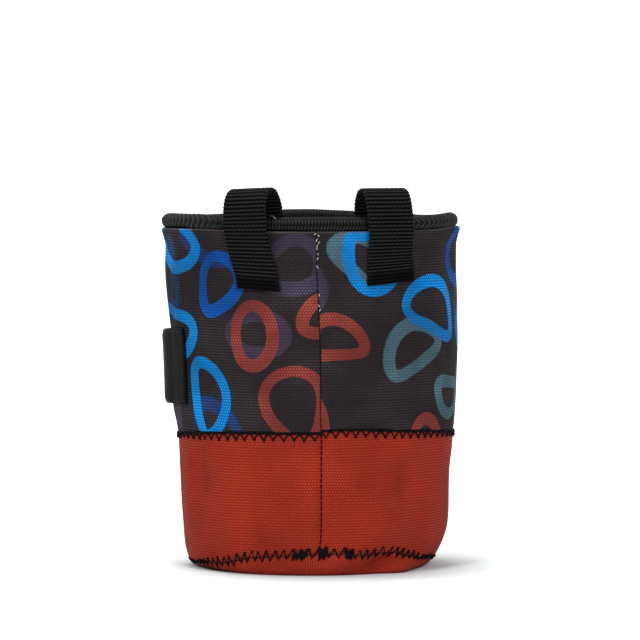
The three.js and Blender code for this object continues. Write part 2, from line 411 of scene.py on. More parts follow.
class SpunPiece:
    """Helpers that spin a profile round Z and keep each vertex's place on the profile."""

    columns = ("out", "share", "ring", "floor")
    radius = 60.0
    coarse = 30

    def __init__(self, name: str, profile: Sequence[dict], steps: int, closed: bool) -> None:
        """Spin a profile into a bmesh.

        Args:
            name: name of the piece.
            profile: one dict a vertex, with the columns of Nominal.
            steps: number of steps in the full turn, a multiple of the coarse count.
            closed: whether the profile's last vertex joins its first.
        """
        self.name = name
        bm = bmesh.new()
        layers = {column: bm.verts.layers.float.new(column) for column in self.columns}
        place = bm.verts.layers.float.new("place")
        vertices = []
        for i, row in enumerate(profile):
            on_axis = row.get("ring", 1.0) == 0
            vertex = bm.verts.new((0, 0 if on_axis else -self.radius * MM, i * MM))
            for column, layer in layers.items():
                vertex[layer] = row.get(column, 1.0 if column == "ring" else 0.0)
            vertex[place] = i
            vertices.append(vertex)
        pairs = list(zip(vertices, vertices[1:]))
        if closed:
            pairs.append((vertices[-1], vertices[0]))
        edges = [bm.edges.new(pair) for pair in pairs]
        bmesh.ops.spin(
            bm, geom=vertices + edges, cent=(0, 0, 0), axis=(0, 0, 1),
            angle=math.tau, steps=self.coarse, use_merge=True,
        )
        bmesh.ops.remove_doubles(bm, verts=bm.verts, dist=WELD)
        around = [edge for edge in bm.edges if abs(edge.verts[0][place] - edge.verts[1][place]) < 0.5]
        bmesh.ops.subdivide_edges(bm, edges=around, cuts=steps // self.coarse - 1, use_grid_fill=True)
        bm.verts.layers.float.remove(place)
        bmesh.ops.recalc_face_normals(bm, faces=bm.faces)
        self.mesh = bpy.data.meshes.new(name)
        bm.to_mesh(self.mesh)
        bm.free()

    def nominal(self) -> Nominal:
        """The nominal place of every vertex of the spun mesh."""
        count = len(self.mesh.vertices)
        flat = np.empty(count * 3)
        self.mesh.vertices.foreach_get("co", flat)
        co = flat.reshape(-1, 3)
        values = {}
        for column in self.columns:
            values[column] = np.empty(count)
            self.mesh.attributes[column].data.foreach_get("value", values[column])
        return Nominal(azimuth=np.degrees(np.arctan2(co[:, 0], -co[:, 1])), **values)

    def shape(self, points: np.ndarray) -> bpy.types.Mesh:
        """Put the vertices at points in millimetres and drop the helper columns.

        Args:
            points: one point a vertex, in millimetres.

        Returns:
            The shaped mesh, smooth shaded.
        """
        write_points(self.mesh, points)
        for column in self.columns:
            self.mesh.attributes.remove(self.mesh.attributes[column])
        return self.mesh


def write_points(mesh: bpy.types.Mesh, points: np.ndarray) -> None:
    """Set a mesh's vertices from points in millimetres and shade it smooth."""
    mesh.vertices.foreach_set("co", (points * MM).astype(np.float32).ravel())
    mesh.shade_smooth()
    mesh.update()


def write_uv(mesh: bpy.types.Mesh, across: np.ndarray, up: np.ndarray, wrap: float = 0.0) -> None:
    """Give a mesh a UV map in metres from two values a vertex.

    Args:
        mesh: the mesh.
        across: first coordinate of every vertex, in millimetres.
        up: second coordinate of every vertex, in millimetres.
        wrap: length after which across starts again, or 0.
    """
    corners = np.empty(len(mesh.loops), int)
    mesh.loops.foreach_get("vertex_index", corners)
    totals = np.empty(len(mesh.polygons), int)
    mesh.polygons.foreach_get("loop_total", totals)
    starts = np.empty(len(mesh.polygons), int)
    mesh.polygons.foreach_get("loop_start", starts)
    u = across[corners].copy()
    if wrap:
        first = np.repeat(u[starts], totals)
        u = first + (u - first + wrap / 2) % wrap - wrap / 2
    layer = mesh.uv_layers.new(name="UVMap")
    layer.data.foreach_set("uv", (np.stack([u, up[corners]], axis=-1) * MM).astype(np.float32).ravel())


def write_value(mesh: bpy.types.Mesh, name: str, values: np.ndarray) -> None:
    """Store one number a vertex under a name."""
    layer = mesh.attributes.new(name, "FLOAT", "POINT")
    layer.data.foreach_set("value", values.astype(np.float32))


def write_colour(mesh: bpy.types.Mesh, name: str, colours: np.ndarray) -> None:
    """Store one linear colour a vertex under a name."""
    layer = mesh.attributes.new(name, "FLOAT_COLOR", "POINT")
    whole = np.concatenate([colours, np.ones((len(colours), 1))], axis=1)
    layer.data.foreach_set("color", whole.astype(np.float32).ravel())


def line_faces(mesh: bpy.types.Mesh, inside: np.ndarray, within: Callable = any) -> None:
    """Give the second material to faces with any, or all, of their corners inside."""
    for polygon in mesh.polygons:
        if within(inside[corner] for corner in polygon.vertices):
            polygon.material_index = 1


def add_piece(
    mesh: bpy.types.Mesh, name: str, materials: Sequence, nodes: Sequence[str] = ()
) -> bpy.types.Object:
    """Make an object of a finished mesh, at the origin, riding on the bag.

    Args:
        mesh: the finished mesh.
        name: name of the piece.
        materials: its materials, in the order of the mesh's material indices.
        nodes: CAD nodes that it stands for.

    Returns:
        The object.
    """
    mesh.name = name
    piece = bpy.data.objects.new(name, mesh)
    bpy.context.scene.collection.objects.link(piece)
    for material in materials:
        mesh.materials.append(material)
    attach(piece, BODY)
    if nodes:
        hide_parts(*nodes)
    LOG.info("%s: %d faces", name, len(mesh.polygons))
    return piece


def thread_mesh(name: str, strokes: Sequence[np.ndarray], radius: float) -> bpy.types.Mesh:
    """Lay round threads along strokes.

    Args:
        name: name of the mesh.
        strokes: for each thread, its points in millimetres.
        radius: radius of the thread in millimetres.

    Returns:
        One mesh with all the threads.
    """
    curve = bpy.data.curves.new(name + "_path", "CURVE")
    curve.dimensions = "3D"
    curve.bevel_depth = radius * MM
    curve.bevel_resolution = 1
    curve.use_fill_caps = True
    for stroke in strokes:
        spline = curve.splines.new("POLY")
        spline.points.add(len(stroke) - 1)
        flat = np.concatenate([stroke * MM, np.ones((len(stroke), 1))], axis=1)
        spline.points.foreach_set("co", flat.astype(np.float32).ravel())
    holder = bpy.data.objects.new(name + "_path", curve)
    bpy.context.scene.collection.objects.link(holder)
    bpy.context.view_layer.update()
    mesh = bpy.data.meshes.new_from_object(holder.evaluated_get(bpy.context.evaluated_depsgraph_get()))
    bpy.data.objects.remove(holder)
    bpy.data.curves.remove(curve)
    bm = bmesh.new()
    bm.from_mesh(mesh)
    bmesh.ops.remove_doubles(bm, verts=bm.verts, dist=WELD)
    bmesh.ops.recalc_face_normals(bm, faces=bm.faces)
    bm.to_mesh(mesh)
    bm.free()
    mesh.shade_smooth()
    return mesh


class NodeSheet:
    """A node tree with short calls for the nodes that the finishes use."""

    def __init__(self, tree: bpy.types.NodeTree) -> None:
        """Take hold of an empty tree."""
        self.tree = tree

    def add(self, kind: str, **settings: object) -> bpy.types.Node:
        """Add a node and set its properties."""
        node = self.tree.nodes.new(kind)
        for key, value in settings.items():
            setattr(node, key, value)
        return node

    def feed(self, socket: bpy.types.NodeSocket, source: Source) -> None:
        """Link a socket to an output, or give it a plain value."""
        if isinstance(source, bpy.types.NodeSocket):
            self.tree.links.new(source, socket)
        else:
            socket.default_value = source

    def maths(self, operation: str, *inputs: Source) -> bpy.types.NodeSocket:
        """Result of a Math node on sockets or numbers."""
        node = self.add("ShaderNodeMath", operation=operation)
        for socket, source in zip(node.inputs, inputs):
            self.feed(socket, source)
        return node.outputs[0]

    def span(
        self, value: Source, low: float, high: float, start: float = 0.0, end: float = 1.0
    ) -> bpy.types.NodeSocket:
        """Value mapped smoothly from low..high to start..end."""
        node = self.add("ShaderNodeMapRange", interpolation_type="SMOOTHSTEP")
        for socket, source in zip(node.inputs, (value, low, high, start, end)):
            self.feed(socket, source)
        return node.outputs[0]

    def mix(self, share: Source, first: Source, second: Source, blend: str = "MIX") -> bpy.types.NodeSocket:
        """Colour mixed from first to second by share."""
        node = self.add("ShaderNodeMix", data_type="RGBA", blend_type=blend)
        # A Mix node has a socket for every data type: 6 and 7 are its colours, 2 its colour output.
        self.feed(node.inputs[0], share)
        for socket, colour in ((node.inputs[6], first), (node.inputs[7], second)):
            if isinstance(colour, tuple) and len(colour) == 3:
                colour = (*colour, 1.0)
            self.feed(socket, colour)
        return node.outputs[2]

    def attribute(self, name: str, output: str = "Fac") -> bpy.types.NodeSocket:
        """A value or colour stored on the mesh."""
        return self.add("ShaderNodeAttribute", attribute_name=name).outputs[output]

    def place(self) -> bpy.types.NodeSocket:
        """The piece's object coordinates, in metres."""
        return self.add("ShaderNodeTexCoord").outputs["Object"]

    def uv(self) -> bpy.types.NodeSocket:
        """The piece's own UV map, in metres."""
        return self.add("ShaderNodeUVMap", uv_map="UVMap").outputs[0]

    def noise(self, vector: Source, scale: float, detail: float = 2.0) -> bpy.types.NodeSocket:
        """Noise from 0 to 1 on a vector."""
        node = self.add("ShaderNodeTexNoise")
        self.feed(node.inputs["Vector"], vector)
        node.inputs["Scale"].default_value = scale
        node.inputs["Detail"].default_value = detail
        return node.outputs["Fac"]

    def relief(self, shader: bpy.types.Node, height: Source, depth: float) -> None:
        """Bump the normal of a shader by a height, depth metres deep."""
        bump = self.add("ShaderNodeBump")
        bump.inputs["Distance"].default_value = depth
        self.feed(bump.inputs["Height"], height)
        self.feed(shader.inputs["Normal"], bump.outputs[0])

    def group(self, tree: bpy.types.NodeTree, **inputs: Source) -> bpy.types.Node:
        """Place a node group with its own values."""
        node = self.add("ShaderNodeGroup", node_tree=tree)
        for name, source in inputs.items():
            self.feed(node.inputs[name.replace("_", " ")], source)
        return node


def new_group(name: str, inputs: Sequence[tuple], outputs: Sequence[str]) -> tuple:
    """Start a shader node group.

    Args:
        name: name of the group.
        inputs: for each input, its name, socket type and default or None.
        outputs: names of its number outputs.

    Returns:
        The tree, its sheet, its input node and its output node.
    """
    tree = bpy.data.node_groups.new(name, "ShaderNodeTree")
    for label, kind, default in inputs:
        socket = tree.interface.new_socket(name=label, in_out="INPUT", socket_type=kind)
        if default is not None:
            socket.default_value = default
    for label in outputs:
        tree.interface.new_socket(name=label, in_out="OUTPUT", socket_type="NodeSocketFloat")
    sheet = NodeSheet(tree)
    return tree, sheet, sheet.add("NodeGroupInput"), sheet.add("NodeGroupOutput")


def plain_weave_group() -> bpy.types.NodeTree:
    """Plain weave: yarns pass over and under each other in turn."""
    tree, sheet, start, end = new_group(
        "plain_weave",
        [
            ("Vector", "NodeSocketVector", None),
            ("Across", "NodeSocketFloat", 0.00062),
            ("Up", "NodeSocketFloat", 0.00115),
        ],
        ["Height", "Crest", "Weft"],
    )
    split = sheet.add("ShaderNodeSeparateXYZ")
    sheet.feed(split.inputs[0], start.outputs["Vector"])
    across = sheet.maths("DIVIDE", split.outputs[0], start.outputs["Across"])
    up = sheet.maths("DIVIDE", split.outputs[1], start.outputs["Up"])
    cells = sheet.maths("ADD", sheet.maths("FLOOR", across), sheet.maths("FLOOR", up))
    weft = sheet.maths("FLOORED_MODULO", cells, 2.0)
    arch_across = sheet.maths("SINE", sheet.maths("MULTIPLY", sheet.maths("FRACT", across), math.pi))
    arch_up = sheet.maths("SINE", sheet.maths("MULTIPLY", sheet.maths("FRACT", up), math.pi))
    warp = sheet.maths("SUBTRACT", 1.0, weft)
    narrow = sheet.maths(
        "ADD", sheet.maths("MULTIPLY", arch_across, warp), sheet.maths("MULTIPLY", arch_up, weft)
    )
    length = sheet.maths(
        "ADD", sheet.maths("MULTIPLY", arch_up, warp), sheet.maths("MULTIPLY", arch_across, weft)
    )
    height = sheet.maths("MULTIPLY", sheet.maths("POWER", narrow, 0.55), sheet.maths("POWER", length, 0.8))
    sheet.feed(end.inputs["Height"], height)
    sheet.feed(end.inputs["Crest"], sheet.span(height, 0.32, 0.88))
    sheet.feed(end.inputs["Weft"], weft)
    return tree


def mottle_noise_group() -> bpy.types.NodeTree:
    """Slow and fine noise in object space: random tone, faded print, fibre and pile, and the patches where painted
    crest highlights show.
    """
    tree, sheet, start, end = new_group(
        "mottle_noise",
        [
            ("Vector", "NodeSocketVector", None),
            ("Slow", "NodeSocketFloat", 30.0),
            ("Fine", "NodeSocketFloat", 900.0),
        ],
        ["Slow", "Fine"],
    )
    for label, detail in (("Slow", 3.0), ("Fine", 1.0)):
        noise = sheet.add("ShaderNodeTexNoise")
        sheet.feed(noise.inputs["Vector"], start.outputs["Vector"])
        sheet.feed(noise.inputs["Scale"], start.outputs[label])
        noise.inputs["Detail"].default_value = detail
        sheet.feed(end.inputs[label], noise.outputs["Fac"])
    return tree


@dataclass
class Groups:
    """The node groups that the finishes share."""

    weave: bpy.types.NodeTree = field(default_factory=plain_weave_group)
    mottle: bpy.types.NodeTree = field(default_factory=mottle_noise_group)


def start_material(name: str) -> tuple[bpy.types.Material, NodeSheet, bpy.types.Node]:
    """An empty node material with its Principled shader linked to the output."""
    material = bpy.data.materials.new(name)
    material.use_nodes = True
    material.node_tree.nodes.clear()
    sheet = NodeSheet(material.node_tree)
    shader = sheet.add("ShaderNodeBsdfPrincipled")
    output = sheet.add("ShaderNodeOutputMaterial")
    sheet.feed(output.inputs["Surface"], shader.outputs[0])
    return material, sheet, shader


@dataclass(frozen=True)
class WovenCloth:
    """Plain-woven cloth of one dye, or printed where the mesh says so, with painted highlights on its yarn crests
    and painted shade between them.
    """

    name: str
    colour: tuple
    # The colour of the paler strip along the turned top edge.
    worn: tuple = (0.30, 0.26, 0.26)
    # Below, shade is the painted shade between the yarn crests, lift and the whitening after it make the painted
    # highlight on the warp crests, and patch is how much of that painted highlight shows in the dim patches of the
    # slow noise.
    shade: float = 0.56
    lift: float = 1.50
    crest_glint_white: float = 0.005
    patch: float = 0.75
    printed: bool = False
    across: float = 0.00062
    up: float = 0.00115
    relief: float = 0.00022
    roughness: float = 0.78
    specular: float = 0.08

    def material(self, groups: Groups) -> bpy.types.Material:
        """Build the material.

        Args:
            groups: the shared node groups.

        Returns:
            The material.
        """
        material, sheet, shader = start_material(self.name)
        weave = sheet.group(groups.weave, Vector=sheet.uv(), Across=self.across, Up=self.up)
        mottle = sheet.group(groups.mottle, Vector=sheet.place(), Slow=38.0, Fine=1100.0)
        colour = self.colour
        if self.printed:
            ragged = sheet.maths("MULTIPLY_ADD", mottle.outputs["Fine"], 0.5, -0.25)
            for layer, soft in (("under", 0.45), ("print", 0.2)):
                gap = sheet.maths("ADD", sheet.attribute(layer + "_gap"), ragged)
                ink = sheet.span(gap, -soft, soft, 1.0, 0.0)
                worn = sheet.maths("MULTIPLY", ink, sheet.span(mottle.outputs["Slow"], 0.2, 0.75, 0.82, 1.0))
                colour = sheet.mix(worn, colour, sheet.attribute(layer + "_dye", "Color"))
        # Painted light: a shaded copy of the colour between the crests and a lit, whitened copy on the warp crests,
        # mixed by crest height in patches of slow noise.
        dark = sheet.mix(1.0, colour, (self.shade,) * 3, "MULTIPLY")
        light = sheet.mix(1.0, colour, (self.lift,) * 3, "MULTIPLY")
        light = sheet.mix(1.0, light, (self.crest_glint_white,) * 3, "ADD")
        over = sheet.maths("MULTIPLY_ADD", weave.outputs["Weft"], -0.72, 1.0)
        clear = sheet.span(mottle.outputs["Slow"], 0.38, 0.66, self.patch, 1.0)
        dots = sheet.maths("MULTIPLY", sheet.maths("MULTIPLY", weave.outputs["Crest"], over), clear)
        woven = sheet.mix(dots, dark, light)
        tone = sheet.span(mottle.outputs["Slow"], 0.25, 0.75, 0.92, 1.08)
        toned = sheet.mix(1.0, woven, tone, "MULTIPLY")
        # Painted shade: the colour is darkened along the valley of the upright middle seam.
        seam = sheet.maths("ABSOLUTE", sheet.attribute("centre_seam"))
        painted_seam_shade = sheet.span(seam, 0.05, 0.42, 0.22, 1.0)
        # The colour turns paler along the turned top edge.
        edged = sheet.mix(sheet.attribute("pale_top_edge"), toned, self.worn)
        sheet.feed(shader.inputs["Base Color"], sheet.mix(1.0, edged, painted_seam_shade, "MULTIPLY"))
        rough = sheet.span(weave.outputs["Crest"], 0.0, 1.0, self.roughness + 0.12, self.roughness - 0.08)
        sheet.feed(shader.inputs["Roughness"], rough)
        shader.inputs["Specular IOR Level"].default_value = self.specular
        lower = sheet.maths("MULTIPLY_ADD", weave.outputs["Weft"], -0.45, 1.0)
        raised = sheet.maths("MULTIPLY", weave.outputs["Height"], lower)
        fuzz = sheet.maths("MULTIPLY_ADD", mottle.outputs["Fine"], 0.25, raised)
        sheet.relief(shader, fuzz, self.relief)
        return material


@dataclass(frozen=True)
class ThreadedBlack:
    """Black webbing, tape or elastic: painted shade between its ridges and painted highlights on their crests, fine
    yarns along the UV map.
    """

    name: str
    groove_shade: float
    crest: float
    yarn: float
    relief: float
    roughness: float
    specular: float = 0.03

    def material(self, groups: Groups) -> bpy.types.Material:
        """Build the material.

        Args:
            groups: the shared node groups.

        Returns:
            The material.
        """
        material, sheet, shader = start_material(self.name)
        weave = sheet.group(groups.weave, Vector=sheet.uv(), Across=self.yarn, Up=self.yarn)
        mottle = sheet.group(groups.mottle, Vector=sheet.place(), Slow=60.0, Fine=1600.0)
        yarns = sheet.span(weave.outputs["Crest"], 0.0, 1.0, 0.6, 1.0)
        fibres = sheet.span(mottle.outputs["Fine"], 0.3, 0.7, 0.7, 1.15)
        share = sheet.maths("MULTIPLY", sheet.attribute("ridge"), sheet.maths("MULTIPLY", yarns, fibres))
        # Painted light: the ridge value mixes from the shaded groove colour to the lit crest colour.
        colour = sheet.mix(share, (self.groove_shade,) * 3, (self.crest,) * 3)
        sheet.feed(shader.inputs["Base Color"], colour)
        rough = sheet.span(mottle.outputs["Slow"], 0.2, 0.8, self.roughness - 0.06, self.roughness + 0.08)
        sheet.feed(shader.inputs["Roughness"], rough)
        shader.inputs["Specular IOR Level"].default_value = self.specular
        sheet.relief(shader, weave.outputs["Height"], self.relief)
        return material


@dataclass(frozen=True)
class SpunThread:
    """Sewing thread: one dye with a fine twist."""

    name: str
    colour: tuple
    roughness: float = 0.6
    specular: float = 0.15
    relief: float = 0.00005
    twist: float = 2.2

    def material(self, groups: Groups) -> bpy.types.Material:
        """Build the material.

        Args:
            groups: the shared node groups.

        Returns:
            The material.
        """
        material, sheet, shader = start_material(self.name)
        mottle = sheet.group(groups.mottle, Vector=sheet.place(), Slow=300.0, Fine=4000.0)
        light = tuple(min(channel * self.twist + 0.002, 1.0) for channel in self.colour)
        sheet.feed(shader.inputs["Base Color"], sheet.mix(mottle.outputs["Fine"], self.colour, light))
        sheet.feed(shader.inputs["Roughness"], sheet.span(mottle.outputs["Slow"], 0.2, 0.8, self.roughness, 0.8))
        shader.inputs["Specular IOR Level"].default_value = self.specular
        sheet.relief(shader, mottle.outputs["Fine"], self.relief)
        return material


@dataclass(frozen=True)
class BrushedLining:
    """The brushed inner face of the cloth."""

    name: str
    colour: tuple
    pile: float = 1.9
    specular: float = 0.1
    relief: float = 0.0004

    def material(self, groups: Groups) -> bpy.types.Material:
        """Build the material.

        Args:
            groups: the shared node groups.

        Returns:
            The material.
        """
        material, sheet, shader = start_material(self.name)
        mottle = sheet.group(groups.mottle, Vector=sheet.place(), Slow=90.0, Fine=1400.0)
        light = tuple(channel * self.pile for channel in self.colour)
        pile = sheet.maths("MULTIPLY", mottle.outputs["Fine"], mottle.outputs["Slow"])
        sheet.feed(shader.inputs["Base Color"], sheet.mix(pile, self.colour, light))
        sheet.feed(shader.inputs["Roughness"], sheet.span(mottle.outputs["Slow"], 0.2, 0.8, 0.85, 1.0))
        shader.inputs["Specular IOR Level"].default_value = self.specular
        sheet.relief(shader, mottle.outputs["Fine"], self.relief)
        return material


@dataclass
class Finishes:
    """Every material of the bag, made once."""

    groups: Groups = field(default_factory=Groups)

    def __post_init__(self) -> None:
        """Build the materials."""
        self.printed = self.made(WovenCloth(
            "printed_cloth", (0.0252, 0.0190, 0.0203),
            specular=0.05, lift=1.9, crest_glint_white=0.008, patch=0.3, printed=True,
        ))
        self.rust = self.made(WovenCloth("rust_cloth", (0.318, 0.0235, 0.0100)))
        # The base's copy of the rust cloth is painted a little lighter, standing in for light the base lacks; its
        # weave also runs the other way.
        self.rust_base = self.made(WovenCloth(
            "rust_base_cloth", (0.345, 0.0270, 0.0120), across=0.00115, up=0.00062,
        ))
        self.lining = self.made(BrushedLining("brushed_lining", (0.016, 0.015, 0.016)))
        self.webbing = self.made(ThreadedBlack(
            "belt_webbing", groove_shade=0.0004, crest=0.0300, yarn=0.00036, relief=0.00012, roughness=0.5,
        ))
        self.tape = self.made(ThreadedBlack(
            "rim_tape", groove_shade=0.0012, crest=0.0520, yarn=0.00030, relief=0.00008, roughness=0.5,
        ))
        self.elastic = self.made(ThreadedBlack(
            "brush_elastic", groove_shade=0.0026, crest=0.0125, yarn=0.00030, relief=0.00005, roughness=0.6,
        ))
        self.black_thread = self.made(SpunThread("black_thread", (0.0022, 0.0022, 0.0022), specular=0.03))
        # A lighter copy of the black thread, whose grey is a painted highlight standing in for glints on the
        # sleeve's stitches.
        self.painted_glint_thread = self.made(SpunThread("painted_glint_thread", (0.034, 0.034, 0.034)))
        self.pale_thread = self.made(SpunThread("pale_thread", (0.30, 0.28, 0.28)))

    def made(self, finish: WovenCloth | ThreadedBlack | SpunThread | BrushedLining) -> bpy.types.Material:
        """The material of one finish."""
        return finish.material(self.groups)


@dataclass
class ClothWaves:
    """Slow seeded undulation of hand-sewn cloth, the same for every band."""

    count: int = 16
    height: float = 0.13

    def __post_init__(self) -> None:
        """Draw the waves once."""
        draw = np.random.default_rng(SEED)
        self.turns = draw.integers(6, 26, self.count)
        self.rise = draw.uniform(-0.16, 0.16, self.count)
        self.phase = draw.uniform(0, math.tau, self.count)
        self.size = self.height * draw.uniform(0.5, 1.0, self.count) * 9 / (3 + self.turns)

    def at(self, azimuth: np.ndarray, z: np.ndarray) -> np.ndarray:
        """Push of the undulation at each place, in millimetres."""
        a = np.radians(azimuth)
        total = np.zeros(a.shape)
        for turns, rise, phase, size in zip(self.turns, self.rise, self.phase, self.size):
            total += size * np.sin(turns * a + rise * z + phase)
        return total


def edge_rows(length: float, step: float, fine: Sequence[float] = (0, 0.25, 0.55, 0.95, 1.5)) -> list[float]:
    """Levels from 0 to length, close together near both ends."""
    low = list(fine)
    high = [length - x for x in reversed(fine)]
    count = max(2, round((high[0] - low[-1]) / step))
    middle = np.linspace(low[-1], high[0], count + 1)[1:-1]
    return [*low, *middle, *high]


@dataclass
class ClothBand:
    """A band of cloth round the bag, between two seams."""

    form: BagForm
    waves: ClothWaves
    name: str
    nominal_height: float
    lower: Callable[[np.ndarray], np.ndarray]
    upper: Callable[[np.ndarray], np.ndarray]
    steps: int = 450
    row_step: float = 0.85
    inner_rows: int = 9
    roll_low: float = 0.75
    roll_high: float = 0.75
    roll_reach: float = 0.5
    pucker_reach: float = 4.0
    pucker_low: float = 0.0
    pucker_high: float = 0.0
    pale_edge: float = 0.0
    lined_edges: bool = True
    seam_depth: float = 1.0
    inner_uv: float = 200.0

    def build(self) -> tuple[bpy.types.Mesh, Nominal, np.ndarray]:
        """Make the band.

        Returns:
            Its mesh, the nominal place of its vertices and their heights.
        """
        height, cloth = self.nominal_height, self.form.cloth
        outer = [{"share": z / height} for z in edge_rows(height, self.row_step)]
        inner = [{"share": share, "out": -cloth} for share in np.linspace(1, 0, self.inner_rows)]
        spun = SpunPiece(self.name, [*outer, *inner], self.steps, closed=True)
        nominal = spun.nominal()
        low, high = self.lower(nominal.azimuth), self.upper(nominal.azimuth)
        z = low + (high - low) * nominal.share
        self.dress(spun.mesh, nominal, z)
        to_low, to_high = z - low, high - z
        rolled = -self.roll_low * np.exp(-((to_low / self.roll_reach) ** 2))
        rolled -= self.roll_high * np.exp(-((to_high / self.roll_reach) ** 2))
        rolled = np.where(nominal.out < -cloth / 2, 0.0, rolled)
        out = nominal.out + rolled + self.waves.at(nominal.azimuth, z)
        out += self.form.push(nominal.azimuth, z, self.form.creases)
        out += self.puckers(nominal.azimuth, to_low, to_high) + self.seam_valley(nominal.azimuth)
        return spun.shape(self.form.point(nominal.azimuth, z, out)), nominal, z

    def puckers(self, azimuth: np.ndarray, to_low: np.ndarray, to_high: np.ndarray) -> np.ndarray:
        """Small gathers that the rows of stitches pull into the cloth."""
        s = self.form.arc(azimuth)
        swell = np.sin(s / 2.9 + 1.3 * np.sin(s / 17)) + 0.6 * np.sin(s / 1.7 + 2.0 * np.sin(s / 11))
        near = self.pucker_low * np.exp(-to_low / self.pucker_reach)
        near += self.pucker_high * np.exp(-to_high / self.pucker_reach)
        return swell * near

    def seam_valley(self, azimuth: np.ndarray) -> np.ndarray:
        """The cloth turns in at the upright seam in the middle of the front."""
        away = self.form.arc(azimuth) - self.form.arc_to(self.form.centre_seam)
        valley = -self.seam_depth * np.exp(-((away / np.where(away < 0, 1.5, 0.55)) ** 2))
        return valley + 0.25 * np.exp(-(((away - 2.2) / 1.4) ** 2)) + 0.10 * np.exp(-(((away + 3.4) / 1.6) ** 2))

    def dress(self, mesh: bpy.types.Mesh, nominal: Nominal, z: np.ndarray) -> None:
        """Give the mesh its UV map, seam distance, paler top edge and inner faces."""
        to_edge = self.upper(nominal.azimuth) - z
        write_value(mesh, "pale_top_edge", self.pale_edge * np.exp(-((to_edge / 0.4) ** 2)))
        arc = self.form.arc(nominal.azimuth)
        around = self.form.girth()
        inside = nominal.out < -self.form.cloth / 2
        write_uv(mesh, arc, z + np.where(inside, self.inner_uv, 0.0), around)
        away = arc - self.form.arc_to(self.form.centre_seam)
        write_value(mesh, "centre_seam", np.where(inside, FAR_SEAM, away))
        line_faces(mesh, inside, any if self.lined_edges else all)


@dataclass(frozen=True)
class Motif:
    """One printed ring: where it lies, how long it is, how it is turned and dyed."""

    azimuth: float
    z: float
    length: float
    turn: float
    outline: Outline
    dye: Dye

    def course(self, form: BagForm, points: int = 56) -> np.ndarray:
        """Middle line of the ring, as distances along the wall and up it, in millimetres."""
        ratio, taper, bend = self.outline.value
        t = np.linspace(0, math.tau, points, endpoint=False)
        half = self.length / 2
        x = half * np.cos(t)
        y = half * ratio * np.sin(t) * (1 + taper * np.cos(t)) + bend * half * (np.cos(t) ** 2 - 0.5)
        cos, sin = math.cos(math.radians(self.turn)), math.sin(math.radians(self.turn))
        middle = form.arc_to(self.azimuth)
        return np.stack([middle + x * cos - y * sin, self.z + x * sin + y * cos], axis=-1)


@dataclass
class PebblePrint:
    """Scattered outline rings in a few dyes that keep clear of each other."""

    form: BagForm
    dyes: tuple
    seed: int
    count: int
    stroke: float = 5.0
    short: float = 23.0
    long: float = 35.0
    clear: float = 1.8
    far: float = 40.0
    low: float = 56.0
    high: float = 146.0

    def __post_init__(self) -> None:
        """Scatter the rings once."""
        draw = np.random.default_rng(self.seed)
        outlines = list(Outline)
        self.around = self.form.girth()
        self.rings: list[tuple[Motif, np.ndarray]] = []
        for _ in range(900):
            motif = Motif(
                azimuth=draw.uniform(-180, 180),
                z=draw.uniform(self.low, self.high),
                length=draw.uniform(self.short, self.long),
                turn=draw.uniform(0, 360),
                outline=outlines[int(draw.integers(len(outlines)))],
                dye=self.dyes[len(self.rings) % len(self.dyes)],
            )
            course = motif.course(self.form)
            if all(self.apart(course, other) for _, other in self.rings):
                self.rings.append((motif, course))
            if len(self.rings) == self.count:
                break

    def wrapped(self, side: np.ndarray) -> np.ndarray:
        """Distance along the wall, the short way round."""
        return (side + self.around / 2) % self.around - self.around / 2

    def apart(self, first: np.ndarray, second: np.ndarray) -> bool:
        """Whether two rings leave cloth between their strokes."""
        side = self.wrapped(first[:, None, 0] - second[None, :, 0])
        up = first[:, None, 1] - second[None, :, 1]
        nearest = np.hypot(side, up).min() > self.stroke + self.clear
        nested = np.hypot(*(first.mean(axis=0) - second.mean(axis=0))) < self.long / 2
        return bool(nearest) and not nested

    def gaps(self, arc: np.ndarray, z: np.ndarray) -> tuple[np.ndarray, np.ndarray]:
        """Distance to the nearest ring's edge, negative inside it, and that ring's dye.

        Args:
            arc: distance along the wall of each place, in millimetres.
            z: height of each place, in millimetres.

        Returns:
            The gaps in millimetres and the colours.
        """
        best = np.full(arc.shape, self.far)
        colours = np.zeros((len(arc), 3))
        for ring, course in self.rings:
            middle = course.mean(axis=0)
            side = self.wrapped(arc - middle[0])
            up = z - middle[1]
            near = np.flatnonzero(np.hypot(side, up) < ring.length / 2 + 10)
            place = np.stack([side[near], up[near]], axis=-1)
            start = course - middle
            step = np.roll(start, -1, axis=0) - start
            reach = np.full(len(near), self.far)
            swell = np.zeros(len(near))
            for i, (a, d) in enumerate(zip(start, step)):
                t = np.clip(((place - a) @ d) / (d @ d), 0, 1)
                found = np.linalg.norm(place - a - t[:, None] * d, axis=1)
                swell = np.where(found < reach, math.sin(math.tau * i / len(start) + ring.turn), swell)
                reach = np.minimum(reach, found)
            gap = reach - (self.stroke + 0.5 * swell) / 2
            closer = gap < best[near]
            best[near[closer]] = gap[closer]
            colours[near[closer]] = np.array(ring.dye.value) * (1 + 0.10 * swell[closer, None])
        return best, colours


